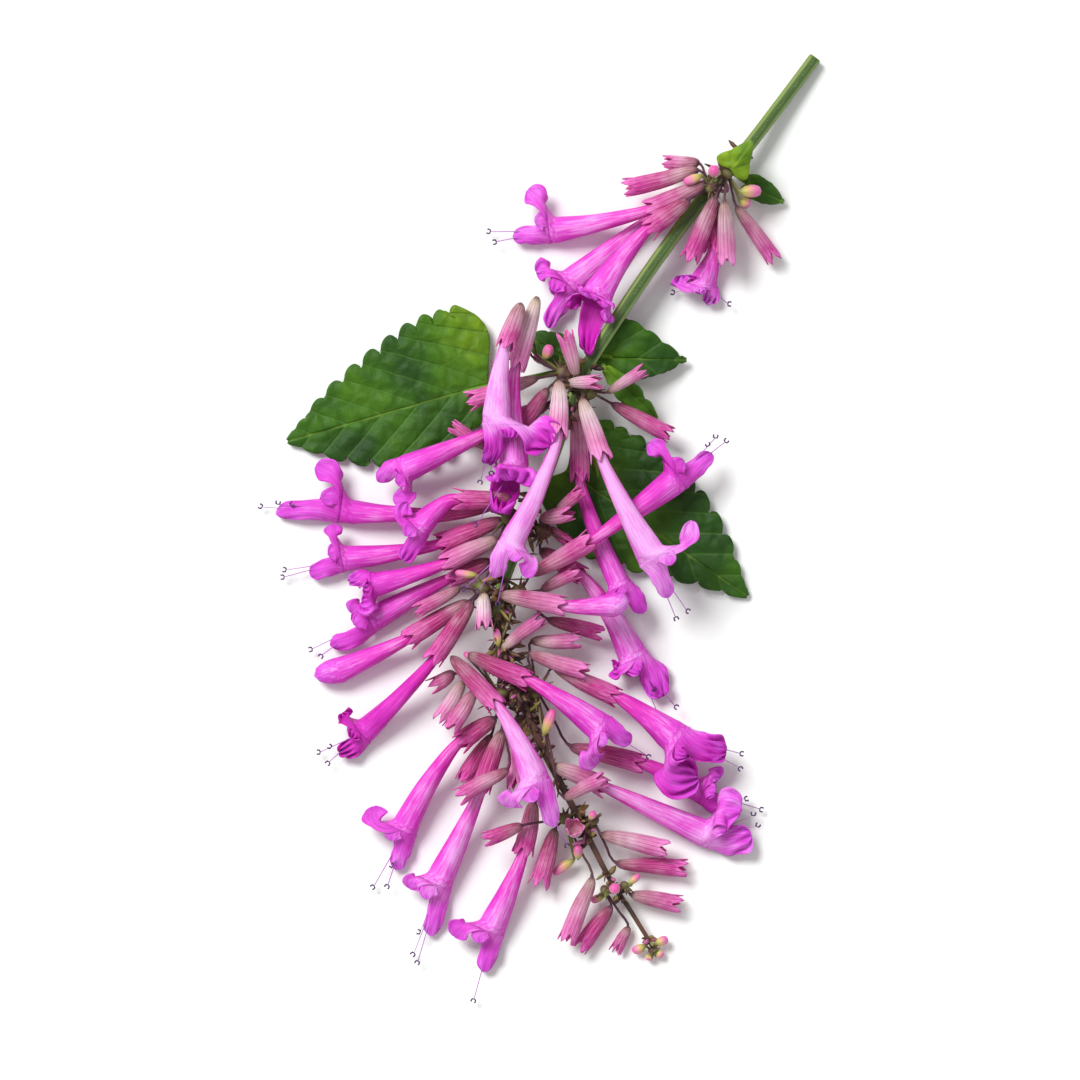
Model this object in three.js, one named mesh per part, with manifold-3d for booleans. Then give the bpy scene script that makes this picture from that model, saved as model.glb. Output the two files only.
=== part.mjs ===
// One cut flowering stem of Texas hummingbird mint, laid down on a flat surface.
// Millimetres, +Z up. The stem's cut end points to +X +Y and the flower spike's tip to -Y.
// The spike carries whorls of long ribbed calyces. Two-lipped tubular corollas stand out of
// many of them, and leaves with scalloped edges grow at the nodes of the stem.
import * as THREE from "three";
import { mergeVertices } from "three/addons/utils/BufferGeometryUtils.js";
import Module from "manifold-3d";

const wasm = await Module();
wasm.setup();

// Places are written as [x, y, z]. x and y are pixels of the 1080 x 1080 photograph, looking
// straight down, and z is the height in millimetres above the surface.
const PIXELS_PER_MM = 8;
const PLAN_CENTRE = 540;
const at = ([x, y, z]) =>
  new THREE.Vector3((x - PLAN_CENTRE) / PIXELS_PER_MM, (PLAN_CENTRE - y) / PIXELS_PER_MM, z);

const GAP = 0.3; // clearance kept between pieces that touch
const PETAL = 0.6; // thickness of a corolla's lobes
const LEAF = 0.6; // thickness of a leaf blade
const LEAF_STALK = 0.4; // radius of a leafstalk where it meets the stem
const CROSSING = 1e-4; // cubic millimetres above which two pieces count as crossing
const UP = new THREE.Vector3(0, 0, 1);

const COLOURS = {
  stem: { color: 0x4f6b2c, roughness: 0.6 },
  leaf: { color: 0x2f6318, roughness: 0.55 },
  calyx: { color: 0xa8507e, roughness: 0.65 },
  corolla: { color: 0xd63fd2, roughness: 0.5 },
};

// The stem: centreline and radius, from the cut end to the last buds.
const STEM = {
  line: [
    [815, 58, 0.95], [780, 105, 1.8], [748, 147, 2.9], [722, 178, 3.4], [698, 205, 3.7], [650, 270, 4.2],
    [606, 336, 4.8], [584, 372, 5.2], [571, 404, 5.4], [548, 470, 5.5], [524, 530, 5.6], [501, 592, 5.6],
    [500, 640, 5.4], [520, 695, 5.2], [545, 752, 4.6], [582, 824, 3.6], [610, 879, 2.6], [629, 908, 2.1],
    [650, 942, 1.4],
  ],
  radius: [[0, 0.85], [0.2, 0.92], [0.62, 0.85], [0.8, 0.52], [0.92, 0.36], [1, 0.28]],
  squareness: 0.08,
  sides: 8,
  stations: 18,
};

// Each bloom: its calyx from foot to mouth, then the corolla's throat and its half width, the
// tip of its straight upper lip (tongue), the end of its lower lip (lip) and that lobe's half
// width (wide), and where its stamens end. A closed corolla has one rounded tip instead.
const BLOOMS = [
  { name: "a1", foot: [706, 185, 6.2], mouth: [645, 212, 5.0], throat: [558, 230, 1.6], half: 1.6,
    tongue: [513, 238, 1.5], lip: [528, 190, 2.6], wide: 1.6, stamens: [[490, 231]] },
  { name: "a2", foot: [692, 190, 2.6], mouth: [648, 221, 2.0], throat: [575, 279, 1.6], half: 1.8,
    tongue: [548, 328, 1.2], lip: [536, 272, 2.4], wide: 1.6, stamens: [] },
  { name: "a3", foot: [690, 200, 6.6], mouth: [645, 232, 5.8], throat: [600, 290, 5.9], half: 1.9,
    tongue: [589, 356, 6.9], lip: [586, 298, 8.8], wide: 2.6, stamens: [] },
  { name: "a6", foot: [716, 200, 4.0], mouth: [713, 254, 3.0], throat: [704, 280, 1.6], half: 1.6,
    tongue: [705, 302, 1.2], lip: [684, 276, 2.8], wide: 1.5, stamens: [[674, 293], [728, 304]] },
  { name: "b1", foot: [522, 304, 10.4], mouth: [504, 352, 10.8], throat: [497, 415, 10.6], half: 1.8,
    tongue: [488, 464, 9.6], lip: [534, 446, 11.6], wide: 2.4, stamens: [[482, 482]] },
  { name: "b2", foot: [538, 297, 8.4], mouth: [515, 372, 8.0], throat: [514, 464, 6.6], half: 1.8,
    tongue: [496, 510, 5.8], lip: [524, 492, 8.8], wide: 2.3, stamens: [[476, 524]] },
  { name: "b5", foot: [561, 381, 10.4], mouth: [557, 440, 11.4], throat: [514, 538, 10.0], half: 1.5,
    tongue: [494, 578, 9.2], lip: [524, 576, 10.6], wide: 1.2, stamens: [[465, 588], [498, 602]] },
  { name: "b10", foot: [582, 398, 9.2], mouth: [603, 463, 9.8], throat: [648, 550, 9.0], half: 1.8,
    tongue: [666, 598, 8.4], lip: [692, 521, 10.0], wide: 1.2, stamens: [[677, 617]] },
  { name: "b11", foot: [578, 406, 6.2], mouth: [580, 483, 5.0], throat: [617, 580, 4.2], half: 1.4,
    tongue: [645, 612, 4.0], lip: [606, 604, 4.4], wide: 1.1, stamens: [] },
  { name: "c1", foot: [550, 402, 4.6], mouth: [487, 433, 5.2], throat: [408, 468, 4.6], half: 1.7,
    tongue: [378, 482, 3.8], lip: [393, 497, 3.8], wide: 1.4, stamens: [] },
  { name: "m1", foot: [512, 500, 7.2], mouth: [452, 500, 6.8], throat: [424, 522, 6.2], half: 1.5,
    tongue: [403, 560, 4.6], lip: [408, 503, 7.4], wide: 1.3, stamens: [] },
  { name: "m2", foot: [500, 505, 3.9], mouth: [428, 514, 3.2], throat: [354, 512, 1.6], half: 1.5,
    tongue: [276, 514, 1.2], lip: [316, 466, 2.6], wide: 1.6, stamens: [[262, 507]] },
  { name: "m3", foot: [504, 519, 4.9], mouth: [436, 545, 3.6], throat: [350, 558, 1.8], half: 1.5,
    tongue: [310, 575, 1.3], lip: [334, 524, 2.8], wide: 1.2, stamens: [[284, 578]] },
  { name: "m4", foot: [499, 537, 5.6], mouth: [441, 565, 5.0], throat: [378, 584, 4.0], half: 1.5,
    tongue: [350, 582, 3.4], lip: [362, 602, 4.6], wide: 1.3, stamens: [] },
  { name: "c5", foot: [492, 562, 3.6], mouth: [446, 580, 2.9], throat: [378, 616, 1.6], half: 1.6,
    tongue: [330, 645, 1.3], lip: [352, 613, 2.6], wide: 1.4, stamens: [[312, 648]] },
  { name: "c6", foot: [470, 600, 4.6], mouth: [405, 640, 3.2], throat: [340, 670, 1.6], half: 1.65,
    tip: [314, 676, 1.5], stamens: [] },
  { name: "c7", foot: [474, 600, 7.0], mouth: [431, 663, 5.2], throat: [368, 728, 1.6], half: 1.5,
    tongue: [339, 752, 1.3], lip: [343, 713, 2.8], wide: 1.2, stamens: [[320, 752]] },
  { name: "c8", foot: [530, 576, 7.4], mouth: [594, 539, 7.5], throat: [670, 484, 5.2], half: 1.7,
    tongue: [713, 455, 4.4], lip: [648, 444, 6.4], wide: 1.3, stamens: [[723, 441]] },
  { name: "c12", foot: [500, 594, 8.8], mouth: [568, 606, 8.9], throat: [612, 605, 8.5], half: 1.5,
    tip: [629, 600, 8.2], stamens: [] },
  { name: "c14", foot: [540, 548, 4.0], mouth: [584, 578, 3.6], throat: [630, 650, 1.6], half: 1.8,
    tongue: [660, 695, 1.4], lip: [622, 676, 2.8], wide: 1.7, stamens: [[667, 712]] },
  { name: "d1", foot: [452, 656, 9.0], mouth: [500, 708, 10.4], throat: [533, 772, 9.6], half: 1.7,
    tongue: [555, 826, 8.4], lip: [508, 806, 9.6], wide: 1.5, stamens: [[566, 843]] },
  { name: "d2", foot: [468, 655, 7.2], mouth: [532, 681, 8.2], throat: [596, 724, 7.8], half: 1.8,
    tongue: [631, 742, 7.2], lip: [597, 764, 7.2], wide: 1.8, stamens: [[647, 755]] },
  { name: "d4", foot: [552, 668, 5.0], mouth: [620, 698, 4.9], throat: [670, 734, 4.6], half: 1.9,
    tongue: [726, 750, 4.4], lip: [676, 766, 5.2], wide: 2.0, stamens: [[741, 758]] },
  { name: "d5", foot: [568, 744, 3.4], mouth: [645, 764, 2.6], throat: [695, 788, 1.6], half: 1.5,
    tongue: [736, 802, 1.1], lip: [718, 779, 2.6], wide: 1.2, stamens: [[760, 809]] },
  { name: "d6", foot: [552, 762, 5.6], mouth: [608, 788, 4.6], throat: [702, 832, 1.7], half: 1.7,
    tongue: [749, 838, 1.3], lip: [732, 820, 3.2], wide: 1.4, stamens: [[758, 826]] },
  { name: "d7", foot: [496, 716, 5.2], mouth: [457, 744, 4.4], throat: [407, 822, 1.6], half: 1.7,
    tongue: [398, 870, 1.2], lip: [374, 806, 2.6], wide: 1.7, stamens: [[376, 886]] },
  { name: "d8", foot: [502, 728, 5.0], mouth: [480, 792, 4.0], throat: [442, 874, 1.6], half: 1.7,
    tongue: [431, 936, 1.2], lip: [409, 888, 2.4], wide: 1.4, stamens: [[416, 957]] },
  { name: "d9", foot: [536, 800, 4.8], mouth: [522, 856, 3.8], throat: [494, 922, 1.7], half: 1.7,
    tongue: [485, 972, 1.3], lip: [454, 936, 2.6], wide: 1.6, stamens: [[474, 999]] },
];

// A cyme is one side of a whorl: calyces and buds on short stalks from one knob, which sits
// against the stem on the side that its place gives. A calyx is [foot, mouth, radius of the
// mouth] and a bud is [foot, tip, radius]. The blooms named here bring their own calyces.
const CYMES = [
  { name: "cyme_a_left", knob: [711, 188, 6.2], size: 0.9, blooms: ["a1", "a2", "a3"],
    calyces: [
      [[700, 165, 4.4], [662, 164, 3.6], 1.0],
      [[700, 172, 6.0], [623, 190, 4.4], 1.15],
    ],
    buds: [[[702, 177, 7.0], [683, 184, 7.2], 0.6], [[714, 176, 6.4], [713, 170, 8.6], 0.75]] },
  { name: "cyme_a_right", knob: [727, 173, 6.2], size: 0.9, blooms: ["a6"],
    calyces: [
      [[716, 196, 6.6], [689, 262, 4.2], 1.2],
      [[724, 200, 6.8], [727, 266, 4.2], 1.15],
      [[735, 205, 4.4], [775, 261, 1.6], 1.0],
    ],
    buds: [[[738, 192, 5.4], [761, 192, 4.8], 0.8], [[739, 200, 4.0], [749, 206, 3.2], 0.7]] },
  { name: "cyme_b_left", knob: [563, 374, 6.2], size: 1.1, blooms: ["b1", "b2", "c1"],
    calyces: [
      [[540, 378, 5.6], [466, 402, 4.6], 1.1],
      [[549, 388, 6.2], [514, 438, 4.4], 1.15],
    ],
    buds: [[[545, 360, 6.0], [550, 346, 7.0], 0.7], [[545, 364, 5.2], [533, 356, 5.2], 0.5]] },
  { name: "cyme_b_right", knob: [590, 392, 7.4], size: 1.1, blooms: ["b5", "b10", "b11"],
    calyces: [
      [[577, 378, 8.4], [564, 331, 9.6], 1.0],
      [[568, 384, 8.8], [602, 382, 10.4], 0.85],
      [[606, 393, 6.8], [646, 369, 6.0], 0.75],
      [[610, 403, 4.6], [672, 437, 4.0], 1.05],
    ],
    buds: [] },
  { name: "cyme_m_left", knob: [514, 518, 5.6], size: 1.1, blooms: ["m1", "m2", "m3", "m4"],
    calyces: [[[492, 452, 3.6], [450, 424, 2.9], 0.85]],
    buds: [] },
  { name: "cyme_m_right", knob: [541, 530, 5.6], size: 1.1, blooms: ["c14"],
    calyces: [
      [[540, 520, 7.0], [574, 512, 7.8], 1.05],
      [[549, 528, 5.0], [574, 546, 5.0], 0.7],
      [[556, 512, 7.4], [584, 489, 8.2], 0.8],
    ],
    buds: [] },
  { name: "cyme_c_left", knob: [489, 590, 5.8], size: 1.1, blooms: ["c5", "c6", "c7"],
    calyces: [
      [[462, 588, 5.6], [414, 612, 5.0], 0.9],
      [[484, 592, 8.6], [484, 631, 8.8], 1.0],
    ],
    buds: [[[478, 576, 6.6], [455, 572, 6.6], 0.5]] },
  { name: "cyme_c_right", knob: [516, 592, 6.0], size: 1.1, blooms: ["c8", "c12"],
    calyces: [
      [[540, 590, 6.8], [580, 569, 6.2], 0.9],
      [[500, 648, 6.9], [545, 616, 6.4], 0.9],
      [[546, 618, 4.2], [604, 634, 2.8], 1.0],
    ],
    buds: [[[499, 646, 7.2], [496, 628, 7.6], 0.5]] },
  { name: "cyme_d_left", knob: [506, 694, 5.4], size: 1.2, blooms: ["d1", "d2", "d7", "d8"],
    calyces: [
      [[456, 673, 3.6], [429, 688, 3.0], 0.95],
      [[466, 681, 4.8], [438, 722, 3.6], 1.0],
      [[477, 690, 7.0], [448, 731, 7.2], 1.1],
      [[492, 733, 2.6], [461, 782, 2.0], 1.05],
      [[509, 766, 6.4], [456, 798, 6.4], 1.05],
    ],
    buds: [[[480, 664, 5.2], [464, 652, 4.8], 0.5]] },
  { name: "cyme_d_right", knob: [533, 690, 5.6], size: 1.2, blooms: ["d4", "d5", "d6"],
    calyces: [
      [[528, 655, 5.6], [590, 672, 6.6], 1.1],
      [[530, 643, 4.6], [582, 640, 4.2], 1.0],
      [[562, 796, 7.0], [607, 776, 7.4], 0.9],
    ],
    buds: [[[543, 735, 6.6], [554, 708, 7.0], 0.65], [[549, 700, 6.6], [549, 690, 6.8], 0.5]] },
  { name: "cyme_e_left", knob: [569, 816, 4.0], size: 0.8, blooms: ["d9"],
    calyces: [
      [[524, 824, 6.6], [483, 840, 6.2], 0.95],
      [[556, 827, 3.4], [538, 887, 2.2], 1.2],
      [[592, 874, 3.6], [566, 943, 3.0], 1.15],
    ],
    buds: [[[576, 836, 4.8], [573, 824, 7.0], 1.0], [[578, 858, 3.2], [578, 845, 4.6], 0.6],
      [[574, 858, 2.2], [553, 874, 1.4], 0.6]] },
  { name: "cyme_e_right", knob: [596, 818, 4.4], size: 0.8, blooms: [],
    calyces: [
      [[600, 832, 4.2], [669, 850, 3.4], 1.2],
      [[614, 861, 2.4], [688, 869, 1.6], 1.1],
    ],
    buds: [[[590, 818, 6.0], [594, 811, 6.8], 0.5]] },
  { name: "cyme_f_left", knob: [606, 889, 2.4], size: 0.6, blooms: [],
    calyces: [[[611, 904, 1.9], [578, 951, 1.2], 1.1], [[628, 925, 1.3], [615, 953, 0.95], 0.75]],
    buds: [[[604, 895, 1.8], [591, 901, 1.2], 0.5], [[614, 890, 3.8], [615, 886, 5.2], 0.7]] },
  { name: "cyme_f_right", knob: [624, 885, 3.0], size: 0.6, blooms: [],
    calyces: [[[630, 893, 2.6], [682, 905, 1.7], 1.1]],
    buds: [[[628, 884, 3.0], [640, 874, 2.8], 0.45]] },
  { name: "cyme_tip", knob: [652, 951, 1.2], size: 0.5, blooms: [], calyces: [],
    buds: [[[646, 946, 1.4], [632, 951, 1.1], 0.6], [[655, 944, 1.6], [668, 938, 1.4], 0.6],
      [[650, 954, 1.2], [648, 960, 1.0], 0.5], [[656, 951, 1.1], [663, 956, 0.9], 0.55]] },
];

// The leaves: where the leafstalk meets the stem, where the blade starts, its tip, and its half
// widths at the four quarters of its length, right and left of the midrib on the way to the
// tip. Then the scallops on a side, how far the middle stands above a straight line, and how
// steeply the halves rise from the midrib.
const LEAVES = [
  { name: "leaf_left", base: [580, 368, 3.6], blade: [489, 384, 0.9], tip: [288, 441, 0.3],
    right: [10.3, 9.7, 7.3, 4.5], left: [3.6, 6.4, 6.6, 4.0], scallops: 10, arch: 0.3, fold: 0.02 },
  { name: "leaf_right_large", base: [578, 386, 3.4], blade: [566, 470, 1.2], tip: [747, 596, 0.3],
    right: [5.6, 7.6, 5.8, 2.9], left: [8.2, 9.0, 8.3, 5.4], scallops: 10, arch: 0.3, fold: 0.02 },
  { name: "leaf_right_pointed", base: [594, 356, 3.0], blade: [600, 358, 2.4], tip: [686, 360, 0.9],
    right: [1.2, 2.2, 2.4, 1.6], left: [3.6, 5.0, 3.9, 2.0], scallops: 5, arch: 0.5, fold: 0.08 },
  { name: "leaf_right_folded", base: [598, 364, 4.6], blade: [608, 371, 4.0], tip: [656, 418, 1.6],
    right: [0.6, 1.5, 1.6, 1.2], left: [0.5, 1.1, 1.1, 0.8], scallops: 4, arch: 0.5, fold: 0.3 },
  { name: "leaf_behind_whorl", base: [580, 362, 3.2], blade: [570, 360, 2.8], tip: [526, 336, 1.8],
    right: [1.6, 2.4, 2.2, 1.4], left: [1.2, 2.1, 2.0, 1.2], scallops: 3, arch: 0.4, fold: 0.1 },
  { name: "bract_leaf_upper", base: [746, 148, 5.2], blade: [749, 156, 6.4], tip: [722, 160, 8.2],
    right: [1.6, 1.7, 1.3, 0.8], left: [1.9, 2.3, 2.0, 1.2], scallops: 3, arch: 0.4, fold: 0.2 },
  { name: "bract_leaf_lower", base: [734, 172, 2.2], blade: [746, 184, 1.8], tip: [783, 202, 0.8],
    right: [1.2, 1.5, 1.3, 0.8], left: [1.2, 1.6, 1.4, 0.8], scallops: 3, arch: 0.3, fold: 0.12 },
];

// A closed three.js geometry as a solid: shared corners merged, and flat triangles dropped.
function solidFrom(geometry) {
  const bare = geometry.clone();
  bare.deleteAttribute("normal");
  bare.deleteAttribute("uv");
  const merged = mergeVertices(bare, 1e-4);
  const faces = [];
  for (let i = 0; i < merged.index.count; i += 3) {
    const [a, b, c] = [0, 1, 2].map((k) => merged.index.getX(i + k));
    if (a !== b && b !== c && a !== c) faces.push(a, b, c);
  }
  const build = (order) =>
    new wasm.Manifold(new wasm.Mesh({
      numProp: 3,
      vertProperties: new Float32Array(merged.attributes.position.array),
      triVerts: new Uint32Array(order),
    }));
  const made = build(faces);
  return made.volume() > 0 ? made : build(faces.slice().reverse());
}

// A lathe of rows and sides whose corners are then placed by a formula of angle and row.
// The first and last rows are single points, so that the skin is closed.
function placedLathe(rows, angles, place) {
  const profile = Array.from({ length: rows }, (_, row) =>
    new THREE.Vector2(row === 0 || row === rows - 1 ? 0 : 1, row));
  const geometry = new THREE.LatheGeometry(profile, angles.length);
  const corner = geometry.attributes.position;
  for (let side = 0; side <= angles.length; side++)
    for (let row = 0; row < rows; row++) {
      const p = place(angles[side % angles.length], row, side % angles.length);
      corner.setXYZ(side * rows + row, p.x, p.y, p.z);
    }
  return solidFrom(geometry);
}

// A thin blade: a box of small squares whose corners are placed by a formula of u, 0 to 1 along
// the blade, v, -1 to 1 across it, and the face, 0 or 1.
function placedBlade(steps, across, place) {
  const geometry = new THREE.BoxGeometry(1, 2, 1, steps, across, 1).translate(0.5, 0, 0.5);
  const corner = geometry.attributes.position;
  for (let i = 0; i < corner.count; i++) {
    const p = place(corner.getX(i), corner.getY(i), Math.round(corner.getZ(i)));
    corner.setXYZ(i, p.x, p.y, p.z);
  }
  return solidFrom(geometry);
}

const evenAngles = (sides) => Array.from({ length: sides }, (_, i) => (i / sides) * 2 * Math.PI);

// Point and cross directions at a share of a curve's length; side is the direction of angle 0.
function station(curve, share, side) {
  const point = curve.getPointAt(share);
  const along = curve.getTangentAt(share);
  const across = side.clone().addScaledVector(along, -side.dot(along)).normalize();
  return { point, along, across, third: along.clone().cross(across) };
}

const ringPoint = (s, radius, angle) =>
  s.point.clone()
    .addScaledVector(s.across, radius * Math.cos(angle))
    .addScaledVector(s.third, radius * Math.sin(angle));

const sideFor = (direction) =>
  Math.abs(direction.clone().normalize().z) > 0.8 ? new THREE.Vector3(1, 0, 0) : UP.clone();

// A rod along points, with its radius at each share of the length.
function rod(points, radii, sides) {
  const bends = points.length > 2;
  const curve = bends ? new THREE.CatmullRomCurve3(points) : new THREE.LineCurve3(...points);
  const side = sideFor(points[points.length - 1].clone().sub(points[0]));
  const last = radii.length - 1;
  return placedLathe(radii.length + 2, evenAngles(sides), (angle, row) => {
    const [share, radius] = radii[Math.min(Math.max(row - 1, 0), last)];
    if (row === 0) return curve.getPointAt(0);
    if (row === last + 2) return curve.getPointAt(1);
    return ringPoint(station(curve, share, side), radius, angle);
  });
}

// Linear interpolation in a list of [share, value].
function graded(list, share) {
  const next = Math.max(1, list.findIndex(([s]) => s >= share));
  const [[s0, v0], [s1, v1]] = [list[next - 1], list[next]];
  return v0 + ((v1 - v0) * (share - s0)) / (s1 - s0);
}

// The square stem of a mint, its four edges rounded and its sides slightly sunk.
const stemCurve = new THREE.CatmullRomCurve3(STEM.line.map(at));

function stemSolid(grow = 0) {
  const last = STEM.stations + 1;
  return placedLathe(last + 2, evenAngles(STEM.sides), (angle, row, side) => {
    const share = Math.min(Math.max(row - 1, 0), STEM.stations) / STEM.stations;
    const s = station(stemCurve, share, UP);
    if (row === 0 || row === last + 1) return s.point;
    const edge = 1 + (side % 2 ? STEM.squareness : -STEM.squareness);
    return ringPoint(s, graded(STEM.radius, share) * edge + grow, angle);
  });
}

// The place beside the stem, on the side of a wished place, where a piece of some radius sits
// with the usual gap.
const SEAT_STEPS = 400;

function besideStem(wished, radius) {
  const shares = Array.from({ length: SEAT_STEPS + 1 }, (_, i) => i / SEAT_STEPS);
  const far = (share) => stemCurve.getPointAt(share).distanceTo(wished);
  const nearest = shares.reduce((best, share) => (far(share) < far(best) ? share : best));
  const axis = stemCurve.getPointAt(nearest);
  const reach = graded(STEM.radius, nearest) * (1 + STEM.squareness) + GAP + radius;
  return axis.clone().add(wished.clone().sub(axis).setLength(reach));
}

// Rings across a path that bends once: along the stalk, at the bend and along what it bears.
const NO_BEND = 0.05; // sine of a bend that counts as none

function bentRings(knob, foot, end) {
  const stalkWay = foot.clone().sub(knob).normalize();
  const endWay = end.clone().sub(foot).normalize();
  const bend = stalkWay.clone().cross(endWay);
  const straight = bend.length() < NO_BEND;
  const across = (straight ? endWay.clone().cross(sideFor(endWay)) : bend).normalize();
  const ways = { stalk: stalkWay, foot: stalkWay.clone().add(endWay).normalize(), end: endWay };
  return (where, point, radius, angle) =>
    ringPoint({ point, across, third: ways[where].clone().cross(across).normalize() }, radius, angle);
}

// A calyx on its stalk: a thread from the knob, then a tube that widens to a mouth with five
// pointed teeth, and the hollow in that mouth.
const CALYX = { sides: 10, stalk: 0.3, shoulder: 0.22, shoulderWidth: 0.82, tooth: 1.7, hollow: 3.4 };
const BLOOM_CALYX = 1.25; // radius of the mouth of a calyx that holds a corolla
const KNOB_SHARE = 0.15; // of the way from the knob, where a stalk has its full thickness

function calyxSolid(knob, foot, mouth, radius, grow = 0) {
  const ring = bentRings(knob, foot, mouth);
  const long = foot.distanceTo(mouth);
  const along = (share) => foot.clone().lerp(mouth, share);
  return placedLathe(6, evenAngles(CALYX.sides), (angle, row, index) =>
    [
      () => knob.clone(),
      () => ring("stalk", knob.clone().lerp(foot, KNOB_SHARE), CALYX.stalk + grow, angle),
      () => ring("foot", foot, CALYX.stalk + grow, angle),
      () => ring("end", along(CALYX.shoulder), radius * CALYX.shoulderWidth + grow, angle),
      () => ring("end", along(1 - (index % 2 ? CALYX.tooth / long : 0)), radius + grow, angle),
      () => along(1 - CALYX.hollow / long),
    ][row]());
}

// The corolla's rim has four lobes: the lower lip at angle 0, the straight tongue opposite, and a
// small lobe on each side between them, where the rim itself stands forward. The lip and the
// tongue are rounded blades that lie across the view from above.
const LOBES = {
  lip: { angle: 0, steps: 3, across: 2 },
  tongue: { angle: Math.PI, steps: 1, across: 2, wide: 1.05 },
};
const SIDE_LOBE = { forward: 1.3, outward: 0.4 };
const LOBE_ROOT = { share: -0.12, inset: 0.8 }; // where a lobe starts, before and inside the rim
const LOBE_ROUND = 0.35; // how much shorter a lobe is at its sides, as a share of its length
const lobeWidth = (w) => Math.sin(Math.PI * (0.28 + 0.5 * w)) ** 0.7; // widest near the middle
const ROOT = { depth: 1.5, radius: 0.3, atMouth: 0.78 }; // the corolla's root inside the calyx
const MIDDLE = { share: 0.6, radius: 0.8 }; // of the tube's length and of the throat
const TUBE_BOW = 0.08; // how far the tube's middle keeps to the calyx's way, as a share of it
const TUBE_PULL = 1.2; // how much more the tube sets the throat's way than its tongue does
const TUBE_SIDES = 8;
const THROAT_DEPTH = 1.2; // of the hollow in the tube's mouth

function corollaShape(bloom) {
  const [foot, mouth, throat] = [bloom.foot, bloom.mouth, bloom.throat].map(at);
  const tongue = at(bloom.tongue ?? bloom.tip);
  const calyxWay = mouth.clone().sub(foot).normalize();
  const root = mouth.clone().addScaledVector(calyxWay, -ROOT.depth);
  const middle = mouth.clone().lerp(throat, 0.5)
    .addScaledVector(calyxWay, TUBE_BOW * mouth.distanceTo(throat));
  const curve = new THREE.CatmullRomCurve3([root, mouth, middle, throat]);
  const axis = curve.getTangentAt(1).multiplyScalar(TUBE_PULL)
    .add(tongue.clone().sub(throat).normalize()).normalize();
  const lipWay = (bloom.lip ? at(bloom.lip) : throat.clone().add(UP)).sub(throat);
  const side = lipWay.clone().addScaledVector(axis, -lipWay.dot(axis)).normalize();
  const rim = { point: throat, across: side, third: axis.clone().cross(side) };
  return { curve, axis, side, rim, throat, tongue };
}

// A lobe follows a bow that leaves the rim along the tube and ends at the lobe's own end.
function lobeSolid(bloom, shape, name, grow) {
  const lobe = LOBES[name];
  const heart = ringPoint(shape.rim, bloom.half * LOBE_ROOT.inset, lobe.angle);
  const reach = at(bloom[name]).sub(heart);
  const bowed = shape.axis.clone().multiplyScalar(reach.length()).addScaledVector(reach, 0.5);
  const flat = UP.clone().cross(reach).normalize();
  const normal = reach.clone().cross(flat).normalize();
  const wide = (lobe.wide ?? bloom.wide) + grow;
  return placedBlade(lobe.steps, lobe.across, (u, v, face) => {
    const w = THREE.MathUtils.lerp(LOBE_ROOT.share, 1 - LOBE_ROUND * Math.abs(v) ** 3, u);
    return heart.clone()
      .addScaledVector(bowed, w * (1 - w))
      .addScaledVector(reach, w * w)
      .addScaledVector(flat, wide * v * lobeWidth(w))
      .addScaledVector(normal, (face - 0.5) * (PETAL + 2 * grow));
  });
}

// The corolla: a tube from its root to the throat with its hollow, and the four lobes.
function corollaSolid(bloom, grow = 0) {
  const shape = corollaShape(bloom);
  const long = shape.curve.getLength();
  const tube = (share, radius) => (angle) =>
    ringPoint(station(shape.curve, share, shape.side), radius + grow, angle);
  const root = [
    () => shape.curve.getPointAt(0),
    tube(0, ROOT.radius),
    tube(ROOT.depth / long, ROOT.atMouth),
    tube(MIDDLE.share, MIDDLE.radius * bloom.half),
  ];
  const rim = (angle) => {
    const lobe = bloom.tip ? 0 : Math.sin(angle) ** 4;
    return ringPoint(shape.rim, bloom.half + SIDE_LOBE.outward * lobe + grow, angle)
      .addScaledVector(shape.axis, SIDE_LOBE.forward * lobe);
  };

  if (bloom.tip) {
    const bulb = (out) => (angle) => {
      const point = shape.throat.clone().lerp(shape.tongue, out);
      return ringPoint({ ...shape.rim, point }, bloom.half * Math.sqrt(1 - out * out) + grow, angle);
    };
    const end = () => shape.tongue.clone().addScaledVector(shape.axis, grow);
    const rows = [...root, rim, bulb(0.45), bulb(0.85), end];
    return placedLathe(rows.length, evenAngles(TUBE_SIDES), (angle, row) => rows[row](angle));
  }

  const rows = [...root, rim, () => shape.throat.clone().addScaledVector(shape.axis, -THROAT_DEPTH)];
  const open = placedLathe(rows.length, evenAngles(TUBE_SIDES), (angle, row) => rows[row](angle));
  const lobes = Object.keys(LOBES).map((name) => lobeSolid(bloom, shape, name, grow));
  return wasm.Manifold.union([open, ...lobes]);
}

// Stamens: thin threads out of the tongue's end, thicker at the anther.
const STAMEN = { thread: 0.2, anther: 0.32, sunk: 0.8, lowest: 0.8, sides: 3 };

function stamenSolids(bloom, grow = 0) {
  const shape = corollaShape(bloom);
  const inTongue = shape.tongue.clone()
    .add(shape.throat.clone().sub(shape.tongue).setLength(STAMEN.sunk));
  return bloom.stamens.map(([x, y]) =>
    rod([inTongue, at([x, y, Math.max(shape.tongue.z, STAMEN.lowest)])],
      [[0, STAMEN.thread + grow], [0.9, STAMEN.anther + grow]], STAMEN.sides));
}

// A leaf: a blade whose edge is cut by a row of rounded scallops, on a leafstalk that runs on
// under it as the midrib. The outline is heart-shaped at the base and narrows to the tip.
const SCALLOP = { steps: 3, depth: 0.1 }; // depth of the notches is a share of the half width
const HEART = { corners: 0.04, sides: 0.07 }; // how far the base bends, as a share of the length
const MIDRIB = { share: 0.12, radius: 0.25, height: 0.2 };

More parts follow.
